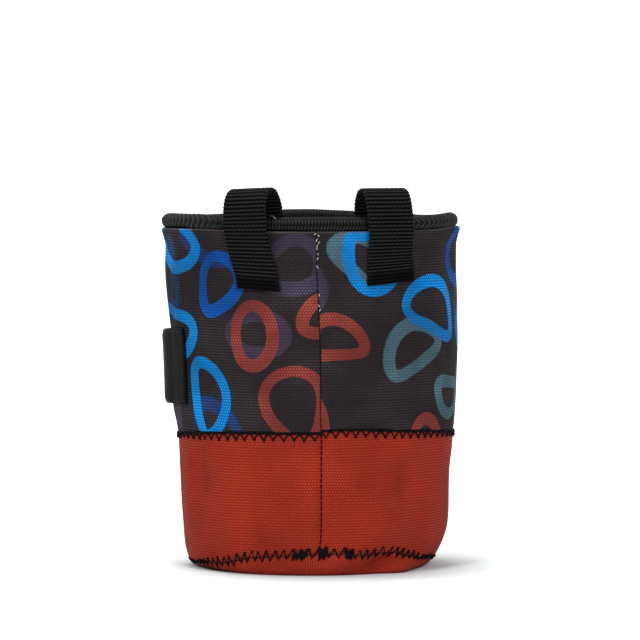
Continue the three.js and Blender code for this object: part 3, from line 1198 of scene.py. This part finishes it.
@dataclass
class Shell:
    """The cloth body of the bag: two bands and a base."""

    form: BagForm
    finishes: Finishes
    waves: ClothWaves = field(default_factory=ClothWaves)
    corner_lumps: tuple = (Lump(-62, 22, 1.0),)
    corner_folds: tuple = (Fold(46, 0.5, 4.0, 12, 3.6, 0), Fold(-56, 0.5, 0.5, 10, 3.5, 0))
    print_shift: float = 9.0
    base_thick: float = 2.0
    base_rings: tuple = (0, 0.15, 0.3, 0.45, 0.6, 0.75, 0.88)
    base_rises: tuple = (0, 0.06, 0.14, 0.24, 0.36, 0.5, 0.64, 0.78, 0.88, 0.95, 1)
    bright_dyes: tuple = (Dye.BRIGHT_BLUE, Dye.RED, Dye.DEEP_BLUE, Dye.TEAL, Dye.BRIGHT_BLUE, Dye.RED)
    dim_dyes: tuple = (Dye.INDIGO, Dye.TEAL, Dye.MAUVE)

    def build(self) -> None:
        """Make and dress the three cloth pieces."""
        self.upper_band()
        self.lower_band()
        self.base_dish()

    def upper_band(self) -> None:
        """The printed band from the waist seam to the turned lip."""
        form = self.form
        band = ClothBand(
            form, self.waves, "upper_cloth", 82.0,
            lambda azimuth: form.waist(azimuth) + form.gap / 2,
            form.lip,
            pucker_low=0.10, pucker_high=0.05, pale_edge=0.32, lined_edges=False, seam_depth=0.55,
        )
        mesh, nominal, z = band.build()
        arc = form.arc(nominal.azimuth)
        seam = form.arc_to(form.centre_seam)
        shifted = z + np.where(arc > seam, self.print_shift, 0.0)
        bright = PebblePrint(form, self.bright_dyes, seed=3, count=24)
        dim = PebblePrint(form, self.dim_dyes, seed=9, count=16, stroke=5.6)
        for layer, rings in (("print", bright), ("under", dim)):
            gap, colours = rings.gaps(arc, shifted)
            gap = np.where(nominal.out < -form.cloth / 2, rings.far, gap)
            write_value(mesh, layer + "_gap", gap)
            write_colour(mesh, layer + "_dye", colours)
        piece = add_piece(
            mesh, "upper_cloth", (self.finishes.printed, self.finishes.lining), ["upper_panel"]
        )

    def lower_band(self) -> None:
        """The plain red band between the base and the waist seam."""
        form = self.form
        band = ClothBand(
            form, self.waves, "lower_cloth", 50.0,
            lambda azimuth: form.foot(azimuth) + form.gap / 2,
            lambda azimuth: form.waist(azimuth) - form.gap / 2,
            pucker_low=0.28, pucker_high=0.14, roll_low=0.45,
        )
        mesh, _, _ = band.build()
        piece = add_piece(
            mesh, "lower_cloth", (self.finishes.rust, self.finishes.lining), ["lower_panel"]
        )

    def base_dish(self) -> None:
        """The round base with its rounded corner and low wall."""
        form = self.form
        within = {"out": -form.cloth, "floor": self.base_thick}
        foot = [{"ring": ring} for ring in self.base_rings]
        outer = [{"share": share} for share in self.base_rises]
        inner = [{"share": share, **within} for share in reversed(self.base_rises[::2])]
        inside = [{"ring": ring, **within} for ring in reversed(self.base_rings[::3])]
        spun = SpunPiece("base_cloth", [*foot, *outer, *inner, *inside], 360, closed=False)
        nominal = spun.nominal()
        top = form.foot(nominal.azimuth) - form.gap / 2
        z = nominal.floor + (top - nominal.floor) * nominal.share
        rolled = -0.4 * np.exp(-(((top - z) / 0.5) ** 2)) * (nominal.out == 0)
        out = nominal.out + rolled + self.waves.at(nominal.azimuth, z) * smooth_step(0.5, 5.0, z)
        out += form.push(nominal.azimuth, z, form.creases) * smooth_step(0.2, 3.0, z)
        out += form.push(nominal.azimuth, z, self.corner_folds)
        points = form.point(nominal.azimuth, z, out)
        tucked = np.exp(-np.maximum(z - nominal.floor, 0) / 2.5) * smooth_step(0.7, 1.0, nominal.ring)
        points[:, 2] += lumps_at(self.corner_lumps, "rise", nominal.azimuth) * tucked
        centre = float(form.section(np.array(0.0))[2])
        points[:, 0] = centre + (points[:, 0] - centre) * nominal.ring
        points[:, 1] *= nominal.ring
        flat = form.point(nominal.azimuth, z, nominal.out, folds=0.0) * nominal.ring[:, None]
        unfolded = 1 + z / np.maximum(np.hypot(flat[:, 0], flat[:, 1]), 1.0)
        write_uv(spun.mesh, flat[:, 0] * unfolded, flat[:, 1] * unfolded)
        line_faces(spun.mesh, nominal.floor > 0)
        write_value(spun.mesh, "centre_seam", np.full(len(z), FAR_SEAM))
        write_value(spun.mesh, "pale_top_edge", np.zeros(len(z)))
        piece = add_piece(
            spun.shape(points), "base_cloth",
            (self.finishes.rust_base, self.finishes.lining), ["base_panel"],
        )


@dataclass
class Rim:
    """The stiff hoop at the mouth, bound in twill tape."""

    form: BagForm
    finishes: Finishes
    steps: int = 1440
    sides: int = 26
    ridge: float = 1.3
    bead: float = 0.95
    gather: float = 3.0
    relief: float = 0.36
    chevron_at: float = 0.55
    gathered_from: tuple = (32, 52)
    gathered_to: tuple = (84, 96)

    def build(self) -> None:
        """Make the bound hoop with the tape's herringbone ridges."""
        form = self.form
        radius = form.rim_tube / 2
        profile = [{"share": i / self.sides} for i in range(self.sides)]
        spun = SpunPiece("rim_tape", profile, self.steps, closed=True)
        nominal = spun.nominal()
        angle = math.tau * nominal.share
        around = form.arc(nominal.azimuth)
        lateral = angle * radius
        chevron = np.abs(lateral - math.pi * radius * self.chevron_at)
        ribs = 0.5 + 0.5 * np.cos(math.tau * (around + 0.25 * chevron) / self.ridge)
        beads = 0.6 + 0.4 * np.cos(math.tau * lateral / self.bead)
        gathers = 0.5 + 0.5 * np.cos(math.tau * (around + 0.9 * chevron) / self.gather)
        aside = np.abs(nominal.azimuth)
        ends = smooth_step(*self.gathered_from, aside) * (1 - smooth_step(*self.gathered_to, aside))
        crest = ribs**1.3 * beads * (1 - 0.6 * ends) + 0.9 * ends * gathers**1.5
        # The ridge value also sets the tape's painted light: painted highlights on the ribs and painted shade
        # between them.
        write_value(spun.mesh, "ridge", crest)
        ridge = self.relief * crest
        swell = 0.10 * np.sin(around / 9.0) + 0.07 * np.sin(around / 4.1 + 1.0)
        rise = lumps_at(form.rim_lumps, "rise", nominal.azimuth)
        grown = radius - self.relief * 0.6 + ridge + swell + lumps_at(form.rim_lumps, "swell", nominal.azimuth)
        out = grown * np.sin(angle) - radius
        a = np.radians(nominal.azimuth)
        points = np.stack([
            form.rim_centre_x + (form.rim_width / 2 + out) * np.sin(a),
            -(form.rim_depth / 2 + out) * np.cos(a),
            form.rim_top - radius - grown * np.cos(angle) + rise,
        ], axis=-1)
        write_uv(spun.mesh, around, lateral, form.girth())
        add_piece(spun.shape(points), "rim_tape", (self.finishes.tape,), ["rim"])


def flat_strap(name: str, width: float, thick: float, steps: int, across: int) -> tuple:
    """A straight strap of unit length, before it is bent along its course.

    Args:
        name: name of the mesh.
        width: width in millimetres.
        thick: thickness in millimetres.
        steps: faces along its length.
        across: faces across its width.

    Returns:
        The mesh, and for its vertices the share of its length, the place across and through.
    """
    bm = bmesh.new()
    bmesh.ops.create_grid(bm, x_segments=across, y_segments=1, size=0.5)
    for vertex in bm.verts:
        vertex.co = (vertex.co.x * width, vertex.co.y * thick, 0)
    for vertex in bm.verts:
        if abs(abs(vertex.co.x) - width / 2) < 1e-6:
            vertex.co.y *= 0.45
    ring = [edge for edge in bm.edges if edge.is_boundary]
    grown = bmesh.ops.extrude_edge_only(bm, edges=ring)["geom"]
    ends = {item for item in grown if isinstance(item, bmesh.types.BMVert)}
    bmesh.ops.translate(bm, vec=(0, 0, 1), verts=list(ends))
    bmesh.ops.holes_fill(bm, edges=[edge for edge in bm.edges if ends.issuperset(edge.verts)], sides=0)
    long = [edge for edge in bm.edges if abs(edge.verts[0].co.z - edge.verts[1].co.z) > 0.5]
    bmesh.ops.subdivide_edges(bm, edges=long, cuts=steps - 1, use_grid_fill=True)
    bmesh.ops.recalc_face_normals(bm, faces=bm.faces)
    mesh = bpy.data.meshes.new(name)
    bm.to_mesh(mesh)
    bm.free()
    flat = np.empty(len(mesh.vertices) * 3)
    mesh.vertices.foreach_get("co", flat)
    co = flat.reshape(-1, 3)
    return mesh, co[:, 2], co[:, 0], co[:, 1]


@dataclass
class Course:
    """A table of marks resampled evenly along its own length."""

    rows: Sequence
    columns: tuple

    def sample(self, share: np.ndarray, plane: tuple[str, str]) -> dict[str, np.ndarray]:
        """Smooth values of every column at shares of the course's length.

        Args:
            share: places from 0 to 1 along the course.
            plane: the two columns whose distance is its length.

        Returns:
            For each column its values, with the length in millimetres under "length".
        """
        index = np.arange(len(self.rows), dtype=float)
        fine = np.linspace(0, len(self.rows) - 1, 1200)
        marks = [IndexedMark(i, row) for i, row in zip(index, self.rows)]
        values = {name: eased(marks, "index", name, fine) for name in self.columns}
        first, second = (values[name] for name in plane)
        length = np.concatenate([[0], np.cumsum(np.hypot(np.diff(first), np.diff(second)))])
        at = share * length[-1]
        result = {name: np.interp(at, length, column) for name, column in values.items()}
        result["length"] = np.full(share.shape, length[-1])
        for name in plane:
            slope = np.gradient(values[name], length)
            result[name + "_slope"] = np.interp(at, length, slope)
        return result


class IndexedMark:
    """A table row that also answers to its own index."""

    def __init__(self, index: float, row: object) -> None:
        """Keep the index and the row."""
        self.index = index
        self.row = row

    def __getattr__(self, name: str) -> float:
        """Any other column comes from the row."""
        return getattr(self.row, name)


@dataclass
class BeltLoop:
    """A loop of ribbed webbing over the rim, sewn to the wall at both ends."""

    form: BagForm
    finishes: Finishes
    node: str
    azimuth: float
    facing: float
    slid: float
    raised: float
    slope: float
    width: float = 20.0
    thick: float = 1.6
    lean: float = 0.0
    spread: float = 0.0
    drift: float = 0.0
    drift_back: float = 0.0
    rib: float = 1.56
    relief: float = 0.42
    steps: int = 560
    across: int = 44
    sewn: float = 5.0
    yarn: float = 1.9
    yarn_relief: float = 0.30
    rib_sharp: float = 1.9
    rib_mean: float = 0.36
    lean_between: tuple = (135.0, 152.0)
    drift_z: float = 136.0
    drift_reach: float = 14.0
    back_between: tuple = (147.0, 157.0)
    tack_rows: tuple = ((0.6, 1.9), (2.2, 3.4), (3.7, 4.9))
    tack_turns: int = 58
    tack_thread: float = 0.16
    course: tuple = (
        StrapMark(1.1, 118.0, 0, 1, 1),
        StrapMark(1.1, 124.5, 0, 1, 0.8),
        StrapMark(1.6, 130.5, 0.4, 0.8, 0.35),
        StrapMark(2.5, 137.0, 0.9, 0.4, 0.08),
        StrapMark(3.2, 143.0, 1, 0.1, 0),
        StrapMark(3.5, 149.0, 1, 0, 0),
        StrapMark(3.1, 153.2, 1, 0, 0),
        StrapMark(1.7, 156.4, 1, 0, 0),
        StrapMark(-0.9, 158.4, 1, 0, 0),
        StrapMark(-4.4, 158.4, 1, 0, 0),
        StrapMark(-7.0, 156.4, 1, 0, 0),
        StrapMark(-8.8, 152.4, 0.9, 0.4, 0),
        StrapMark(-9.0, 147.0, 0.5, 1, 0),
        StrapMark(-7.9, 141.0, 0, 1, 0),
        StrapMark(-4.6, 134.5, 0, 1, 0),
        StrapMark(-2.9, 129.5, 0, 1, 0),
        StrapMark(-2.9, 119.0, 0, 1, 0),
    )

    def bend(self, share: np.ndarray, across: np.ndarray, through: np.ndarray) -> np.ndarray:
        """Carry places of the straight strap to the loop.

        Args:
            share: share of the strap's length.
            across: place across the strap, in millimetres.
            through: place through its thickness, in millimetres.

        Returns:
            Points in millimetres.
        """
        form = self.form
        row = Course(self.course, ("out", "z", "turn", "hug", "slide")).sample(share, ("out", "z"))
        out = row["out"] + through * row["z_slope"]
        leaning = self.lean * smooth_step(*self.lean_between, row["z"])
        z = row["z"] - through * row["out_slope"] + (self.raised + across * self.slope) * row["slide"]
        z = z + across * leaning
        side = across * (1 + self.spread * row["slide"]) + self.slid * row["slide"]
        front = smooth_step(-2.0, 1.0, row["out"])
        side = side + front * self.drift * np.exp(-(((row["z"] - self.drift_z) / self.drift_reach) ** 2))
        side = side + (1 - front) * self.drift_back * (1 - smooth_step(*self.back_between, row["z"]))
        half_width, half_depth, _ = form.section(z)
        a = math.radians(self.azimuth)
        run = np.hypot(half_width * math.cos(a), half_depth * math.sin(a))
        hugged = form.point(self.azimuth + np.degrees(side / (run + out)), z, out)
        wall = np.arctan2(half_depth * math.sin(a), half_width * math.cos(a))
        turn = wall + (math.radians(self.facing) - wall) * row["turn"]
        straight = form.point(np.full(z.shape, self.azimuth), z, np.zeros(z.shape))
        straight[:, 0] += out * np.sin(turn) + side * np.cos(turn)
        straight[:, 1] += side * np.sin(turn) - out * np.cos(turn)
        return straight + (hugged - straight) * row["hug"][:, None]

    def length(self) -> float:
        """Length of the strap in millimetres."""
        row = Course(self.course, ("out", "z")).sample(np.zeros(1), ("out", "z"))
        return float(row["length"][0])

    def build(self) -> None:
        """Make the webbing and the stitches that hold its end."""
        mesh, share, across, through = flat_strap(self.node, self.width, self.thick, self.steps, self.across)
        long = self.length()
        along = share * long
        crest = (0.5 + 0.5 * np.cos(math.tau * along / self.rib)) ** self.rib_sharp
        ribs = crest - self.rib_mean
        inward = 1 - smooth_step(self.width / 2 - 1.0, self.width / 2, np.abs(across))
        pressed = smooth_step(self.sewn - 1.5, self.sewn + 1.0, along)
        weave = self.yarn_relief * np.cos(math.tau * across / self.yarn) * np.cos(math.pi * along / self.rib) * crest
        relief = self.relief * (ribs + weave) * inward * (0.25 + 0.75 * pressed)
        edge = 0.42 * (crest - 0.45) * (np.abs(across) > self.width / 2 - 0.1)
        # The ridge value also sets the webbing's painted light: painted highlights on the ribs and painted shade
        # between them, fainter on the flat sewn end.
        write_value(mesh, "ridge", (crest + weave) * (0.4 + 0.6 * pressed))
        swollen = through + np.sign(through) * relief
        write_points(mesh, self.bend(share, across + np.sign(across) * edge, swollen))
        write_uv(mesh, across, along)
        add_piece(mesh, self.node + "_web", (self.finishes.webbing,), [self.node])
        self.tack(long)

    def tack(self, long: float) -> None:
        """Close zigzag stitches across the sewn outer end."""
        rows = []
        for low, high in self.tack_rows:
            turns = np.arange(self.tack_turns)
            along = np.where(turns % 2 == 0, low, high)
            across = np.linspace(-self.width / 2 + 1.0, self.width / 2 - 1.0, len(turns))
            lift = np.full(len(turns), self.thick / 2 + 0.10)
            rows.append(self.bend(along / long, across, lift))
        mesh = thread_mesh(self.node + "_tack", rows, self.tack_thread)
        add_piece(mesh, self.node + "_tack", (self.finishes.black_thread,))


@dataclass
class BrushSleeve:
    """The elastic band on the left wall, sewn down along both upright edges."""

    form: BagForm
    finishes: Finishes
    height: float = 32.0
    thick: float = 1.2
    middle: float = 85.1
    tilt: float = 0.05
    steps: int = 200
    across: int = 60
    sewn_back: tuple = (1.7, 2.4)
    sewn_front: tuple = (9.6, 10.3)
    bulge_at: float = 7.0
    bulge_reach: float = 2.2
    stitch_rows: tuple = (0.835, 0.875, 0.915, 0.955)
    stitch_turns: int = 61
    stitch_thread: float = 0.15
    course: tuple = (
        SleeveMark(-118.4, 0.9, 1),
        SleeveMark(-113.0, 0.9, 1),
        SleeveMark(-108.5, 0.9, 1),
        SleeveMark(-105.5, 2.3, 0.5),
        SleeveMark(-101.5, 3.1, 0),
        SleeveMark(-96.0, 3.1, 0),
        SleeveMark(-90.0, 2.9, 0),
        SleeveMark(-84.5, 2.8, 0),
        SleeveMark(-79.5, 2.5, 0),
        SleeveMark(-76.0, 1.7, 0.5),
        SleeveMark(-72.4, 0.9, 1),
        SleeveMark(-67.0, 0.9, 1),
        SleeveMark(-61.7, 0.9, 1),
    )

    def column(self, name: str, index: np.ndarray) -> np.ndarray:
        """One column of the course, at places counted in its marks."""
        marks = [IndexedMark(float(i), row) for i, row in enumerate(self.course)]
        return eased(marks, "index", name, index)

    def bend(self, share: np.ndarray, across: np.ndarray, through: np.ndarray) -> np.ndarray:
        """Carry places of the straight band to the wall; share runs towards the front."""
        index = share * (len(self.course) - 1)
        azimuth = self.column("azimuth", index)
        out = self.column("out", index) + through
        hug = self.column("hug", index)
        z = self.middle - across + self.tilt * (azimuth - self.course[-1].azimuth)
        loose = self.form.point(azimuth, z, out, folds=0.0)
        tight = self.form.point(azimuth, z, out)
        return loose + (tight - loose) * hug[:, None]

    def build(self) -> None:
        """Make the band and the rows of stitches along its sewn edges."""
        mesh, share, across, through = flat_strap("brush_sleeve", self.height, self.thick, self.steps, self.across)
        index = share * (len(self.course) - 1)
        sewn = np.maximum(smooth_step(*self.sewn_front, index), 1 - smooth_step(*self.sewn_back, index))
        cord = 0.05 * np.cos(math.tau * across / 1.1)
        pinch = 0.10 * sewn * np.cos(math.tau * across / 1.5) * np.cos(math.tau * share * 46)
        corner = smooth_step(self.height / 2 - 3.0, self.height / 2, np.abs(across))
        bulge = np.exp(-(((index - self.bulge_at) / self.bulge_reach) ** 2))
        drawn = across - np.sign(across) * corner * bulge * 0.8
        crease = 0.35 * bulge * np.exp(-(((across + self.height / 2 - 1.8) / 0.3) ** 2)) * (through > 0)
        lowered = through - corner * bulge * 0.7 - crease
        # The ridge value sets the elastic's painted light: painted highlights on its cords and painted shade in the
        # crease near the bulge.
        write_value(mesh, "ridge", 0.5 + 6 * cord + 3 * pinch - 2 * crease)
        write_points(mesh, self.bend(share, drawn, lowered + np.sign(through) * (cord + pinch)))
        write_uv(mesh, self.form.arc(self.column("azimuth", index)), across)
        add_piece(mesh, "brush_sleeve_band", (self.finishes.elastic,), ["brush_sleeve"])
        self.stitches()

    def stitches(self) -> None:
        """Dense short stitches down the front strip."""
        rows = []
        for start in self.stitch_rows:
            turns = np.arange(self.stitch_turns)
            across = np.linspace(-self.height / 2 + 1.2, self.height / 2 - 1.2, len(turns))
            share = start + np.where(turns % 2 == 0, 0.0, 0.028)
            rows.append(self.bend(share, across, np.full(len(turns), self.thick / 2 + 0.16)))
        mesh = thread_mesh("brush_sleeve_stitches", rows, self.stitch_thread)
        add_piece(mesh, "brush_sleeve_stitches", (self.finishes.painted_glint_thread,))


@dataclass(frozen=True)
class Clump:
    """A place where the machine sewed back and forth; low and high are from the seam."""

    azimuth: float
    width: float
    low: float
    high: float
    passes: int


@dataclass(frozen=True)
class SeamSpeck:
    """A bit of pale thread that shows in the upright seam."""

    z: float
    side: float
    length: float
    lean: float


@dataclass(frozen=True)
class ZigzagRow:
    """A zigzag row of stitches along a seam; hold flattens its corners, fade shrinks it at the sides."""

    pitch: float
    rise: float
    drop: float
    jitter: float
    seed: int
    radius: float
    knot: float
    knots_low: bool
    hold: float = 0.0
    fade: float = 0.0


@dataclass
class Stitching:
    """The zigzag rows, the middle seam's threads and the dark thread line at the waist, which also stands in for the
    seam's shadow.
    """

    form: BagForm
    finishes: Finishes
    waves: ClothWaves
    waist_row: ZigzagRow = ZigzagRow(
        pitch=4.4, rise=-0.4, drop=2.35, jitter=0.25, seed=11, radius=0.38, knot=0.6, knots_low=True,
        hold=0.3, fade=0.3,
    )
    base_row: ZigzagRow = ZigzagRow(
        pitch=3.9, rise=2.3, drop=4.0, jitter=0.55, seed=12, radius=0.31, knot=0.6, knots_low=False,
        hold=0.1, fade=0.65,
    )
    clumps: tuple = (
        Clump(-5.6, 6.6, -2.2, 3.8, 9),
        Clump(4.3, 3.4, -2.6, 4.2, 14),
        Clump(16.2, 3.2, -2.4, 2.8, 9),
        Clump(66.0, 5.0, -1.0, 1.4, 4),
    )
    corners: tuple = ((-84.0, -58.0), (60.0, 84.0))
    faded_between: tuple = (48, 70)
    clump_seed: int = 20
    clump_thread: float = 0.30
    dash: float = 1.2
    dash_pitch: float = 2.3
    dash_thread: float = 0.22
    waist_thread: float = 0.45
    base_thread: float = 0.40
    rim_end: tuple = (
        (-17.6, -48.4, 148.0), (-16.9, -50.2, 148.3), (-16.0, -51.8, 148.1), (-15.4, -53.2, 147.3),
    )
    specks: tuple = (
        SeamSpeck(141.0, -0.55, 1.0, 35),
        SeamSpeck(140.4, 0.75, 0.9, -30),
        SeamSpeck(138.6, 0.1, 1.3, 70),
        SeamSpeck(137.4, 0.85, 1.2, 60),
        SeamSpeck(135.6, 0.15, 2.1, 84),
        SeamSpeck(132.9, 0.5, 1.0, 100),
        SeamSpeck(131.0, 0.4, 1.2, 70),
        SeamSpeck(127.5, 0.3, 1.3, 120),
        SeamSpeck(116.0, 0.4, 1.2, 80),
        SeamSpeck(111.6, 0.2, 0.9, 95),
        SeamSpeck(109.9, 0.5, 1.0, 60),
    )

    def surface(self, azimuth: np.ndarray, z: np.ndarray, lift: float) -> np.ndarray:
        """Points just above the dressed cloth."""
        out = lift + self.waves.at(azimuth, z) + self.form.push(azimuth, z, self.form.creases)
        return self.form.point(azimuth, z, out)

    def azimuths(self, arc: np.ndarray) -> np.ndarray:
        """Azimuths of distances along the wall."""
        turns = np.linspace(-200, 200, 1601)
        return np.interp(arc, self.form.arc(turns), turns)

    def sew(self, name: str, row: ZigzagRow, seam: Callable[[np.ndarray], np.ndarray]) -> None:
        """Sew one zigzag row round the bag, with a knot at every other corner.

        Args:
            name: name of the piece.
            row: the row's sizes.
            seam: height of the seam at given azimuths.
        """
        draw = np.random.default_rng(row.seed)
        around = self.form.girth()
        count = 2 * round(around / row.pitch)
        corners = np.arange(count + 1)
        arc = around * corners / count - around / 2
        arc[1:-1] += draw.uniform(-row.jitter, row.jitter, count - 1)
        low = corners % 2 == 1
        wobble = draw.uniform(-row.jitter, row.jitter, count + 1) * 0.7
        fine = np.arange(0, count + 0.01, 0.25)
        share = np.interp(fine, corners, low.astype(float))
        share = np.clip((share - row.hold) / (1 - row.hold), 0, 1)
        azimuth = self.azimuths(np.interp(fine, corners, arc))
        size = 1 - row.fade * smooth_step(*self.faded_between, np.abs(azimuth))
        z = seam(azimuth) + size * (row.rise - row.drop * share + np.interp(fine, corners, wobble))
        thread = self.surface(azimuth, z, row.radius * 0.5)
        knots = []
        for i in np.flatnonzero(low == row.knots_low):
            at = thread[min(4 * i, len(thread) - 1)]
            upright = draw.uniform(0.25, 0.5)
            knots.append(np.stack([at - (0.1, 0, upright), at + (0.1, 0, upright)]))
        materials = (self.finishes.black_thread,)
        add_piece(thread_mesh(name, [thread], row.radius), name, materials)
        add_piece(thread_mesh(name + "_knots", knots, row.knot), name + "_knots", materials)

    def clump(self, mark: Clump, seed: int) -> np.ndarray:
        """One thread that goes up and down many times in a narrow place."""
        draw = np.random.default_rng(seed)
        count = 2 * mark.passes
        middle = self.form.arc_to(mark.azimuth)
        arc = middle + np.linspace(-0.5, 0.5, count) * mark.width + draw.uniform(-0.35, 0.35, count)
        azimuth = self.azimuths(arc)
        high = mark.high * draw.uniform(0.35, 1.0, count)
        low = mark.low * draw.uniform(0.25, 1.0, count)
        z = self.form.foot(azimuth) + np.where(np.arange(count) % 2 == 0, low, high)
        fine = np.arange(0, count - 1 + 0.01, 0.2)
        azimuth = np.interp(fine, np.arange(count), azimuth)
        z = np.interp(fine, np.arange(count), z)
        return self.surface(azimuth, z, self.clump_thread)

    def middle_seam(self) -> None:
        """Dark dashes down the upright seam and bits of pale thread near the top."""
        form = self.form
        seam = form.arc_to(form.centre_seam)
        dashes = []
        waist = float(form.waist(np.array(form.centre_seam)))
        for z in np.arange(11.5, 139.0, self.dash_pitch):
            if abs(z - waist) > 1.6:
                heights = np.linspace(z, z + self.dash, 4)
                azimuth = self.azimuths(np.full(4, seam))
                shown = float(smooth_step(40, 56, np.array(z))) if z < 60 else 0.0
                dashes.append(self.surface(azimuth, heights, -0.45 + 0.35 * shown))
        name = "middle_seam_thread"
        add_piece(thread_mesh(name, dashes, self.dash_thread), name, (self.finishes.black_thread,))
        bits = []
        for speck in self.specks:
            t = np.linspace(-0.5, 0.5, 4) * speck.length
            lean = math.radians(speck.lean)
            azimuth = self.azimuths(seam + speck.side + t * math.cos(lean))
            bits.append(self.surface(azimuth, speck.z + t * math.sin(lean), 0.10))
        name = "middle_seam_specks"
        add_piece(thread_mesh(name, bits, 0.15), name, (self.finishes.pale_thread,))

    def build(self) -> None:
        """Sew every row."""
        form = self.form
        black = (self.finishes.black_thread,)
        self.sew("waist_zigzag", self.waist_row, form.waist)
        self.sew("base_zigzag", self.base_row, form.foot)
        clumps = [self.clump(mark, self.clump_seed + i) for i, mark in enumerate(self.clumps)]
        add_piece(thread_mesh("base_clumps", clumps, self.clump_thread), "base_clumps", black)
        # A black thread sunk into the waist seam, partly real thread and partly painted shade standing in for the
        # seam's shadow.
        azimuth = np.linspace(-180, 180, 721)
        line = self.surface(azimuth, form.waist(azimuth) + 0.1, -0.30)
        add_piece(thread_mesh("waist_line", [line], self.waist_thread), "waist_line", black)
        # Black thread along the base seam at both corners; at the left corner it also stands in for the dark shadow
        # where the base tucks under.
        lines = []
        for start, end in self.corners:
            azimuth = np.linspace(start, end, 60)
            lines.append(self.surface(azimuth, form.foot(azimuth), -0.25))
        add_piece(thread_mesh("base_line", lines, self.base_thread), "base_line", black)
        name = "rim_thread_end"
        loose = thread_mesh(name, [np.array(self.rim_end)], 0.12)
        add_piece(loose, name, (self.finishes.pale_thread,))
        self.middle_seam()


@dataclass(frozen=True)
class SoftBox:
    """A square soft light: its place and side in metres and its power in watts."""

    name: str
    place: tuple
    side: float
    power: float


@dataclass
class Studio:
    """White sweep, soft lights and the camera."""

    camera_x: float = 0.0029
    camera_y: float = -2.0
    camera_z: float = 0.210
    aim_z: float = 0.103
    frame_width: float = 0.2688
    lit_point: tuple = (0, 0, 0.08)
    sweep_front: float = -3.0
    sweep_half: float = 4.0
    sweep_top: float = 3.0
    bend_start: float = 1.2
    bend_radius: float = 0.8
    whites: tuple = ((0.79, 0.835, 0.835), (0.81, 0.855, 0.855))
    air: float = 0.135
    boxes: tuple = (
        SoftBox("key", (-0.75, -1.25, 1.0), 0.4, 13.2),
        SoftBox("fill", (0.6, -1.5, 0.75), 0.5, 14.0),
        SoftBox("top", (-0.09, 0.04, 1.3), 0.4, 16.5),
    )

    def build(self) -> None:
        """Set up the whole studio."""
        self.camera()
        self.sweep()
        self.lights()

    def camera(self) -> None:
        """A long lens a little above the bag, as in the photograph."""
        data = bpy.data.cameras.new("camera")
        camera = bpy.data.objects.new("camera", data)
        bpy.context.scene.collection.objects.link(camera)
        camera.location = (self.camera_x, self.camera_y, self.camera_z)
        aim = Vector((self.camera_x, 0, self.aim_z)) - camera.location
        camera.rotation_euler = aim.to_track_quat("-Z", "Y").to_euler()
        data.sensor_width = 36.0
        data.lens = data.sensor_width * aim.length / self.frame_width
        data.clip_end = 20.0
        bpy.context.scene.camera = camera

    def sweep(self) -> None:
        """A white floor that curves up into a backdrop."""
        bm = bmesh.new()
        start, radius = self.bend_start, self.bend_radius
        turns = np.linspace(0, math.pi / 2, 17)[1:]
        bend = [(start + radius * math.sin(t), radius - radius * math.cos(t)) for t in turns]
        profile = [(self.sweep_front, 0.0), (start, 0.0), *bend, (start + radius, self.sweep_top)]
        vertices = [bm.verts.new((-self.sweep_half, y, z)) for y, z in profile]
        edges = [bm.edges.new(pair) for pair in zip(vertices, vertices[1:])]
        moved = bmesh.ops.extrude_edge_only(bm, edges=edges)["geom"]
        far = [item for item in moved if isinstance(item, bmesh.types.BMVert)]
        bmesh.ops.translate(bm, vec=(2 * self.sweep_half, 0, 0), verts=far)
        bmesh.ops.recalc_face_normals(bm, faces=bm.faces)
        mesh = bpy.data.meshes.new("sweep")
        bm.to_mesh(mesh)
        bm.free()
        mesh.shade_smooth()
        material, sheet, shader = start_material("sweep_white")
        place = sheet.place()
        grain = sheet.noise(place, 6.0)
        sheet.feed(shader.inputs["Base Color"], sheet.mix(grain, *self.whites))
        shader.inputs["Roughness"].default_value = 0.9
        shader.inputs["Specular IOR Level"].default_value = 0.0
        shader.inputs["Emission Color"].default_value = (1, 1, 1, 1)
        split = sheet.add("ShaderNodeSeparateXYZ")
        sheet.feed(split.inputs[0], place)
        sheet.feed(shader.inputs["Emission Strength"], sheet.span(split.outputs[1], 0.12, 0.7, 0.0, 0.9))
        mesh.materials.append(material)
        floor = bpy.data.objects.new("sweep", mesh)
        bpy.context.scene.collection.objects.link(floor)

    def lamp(self, box: SoftBox) -> None:
        """Stand one soft box, turned to the bag."""
        data = bpy.data.lights.new(box.name, "AREA")
        data.shape = "RECTANGLE"
        data.size = data.size_y = box.side
        data.energy = box.power
        light = bpy.data.objects.new(box.name, data)
        bpy.context.scene.collection.objects.link(light)
        light.location = box.place
        light.rotation_euler = (Vector(self.lit_point) - Vector(box.place)).to_track_quat("-Z", "Y").to_euler()

    def lights(self) -> None:
        """A soft box from the left, one from the right, one overhead, and a little light from all round."""
        world = bpy.data.worlds.new("studio")
        world.use_nodes = True
        background = world.node_tree.nodes["Background"]
        background.inputs["Color"].default_value = (1, 1, 1, 1)
        background.inputs["Strength"].default_value = self.air
        bpy.context.scene.world = world
        for box in self.boxes:
            self.lamp(box)
        bpy.context.scene.view_settings.view_transform = "Standard"


def main() -> None:
    """Build the bag around its frame, piece by piece."""
    logging.basicConfig(level=logging.INFO, format="%(message)s")
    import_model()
    Studio().build()
    form = BagForm()
    finishes = Finishes()
    shell = Shell(form, finishes)
    shell.build()
    Rim(form, finishes).build()
    BeltLoop(
        form, finishes, "belt_loop_left", azimuth=-23.7, facing=-31, slid=3.5, raised=0.0, slope=-0.06,
        lean=0.05, spread=-0.08, drift_back=0.8,
    ).build()
    BeltLoop(
        form, finishes, "belt_loop_right", azimuth=29.8, facing=22, slid=2.9, raised=2.6, slope=0.09,
        spread=0.14, drift=2.0, drift_back=1.3,
    ).build()
    BrushSleeve(form, finishes).build()
    Stitching(form, finishes, shell.waves).build()


if __name__ == "__main__":
    main()
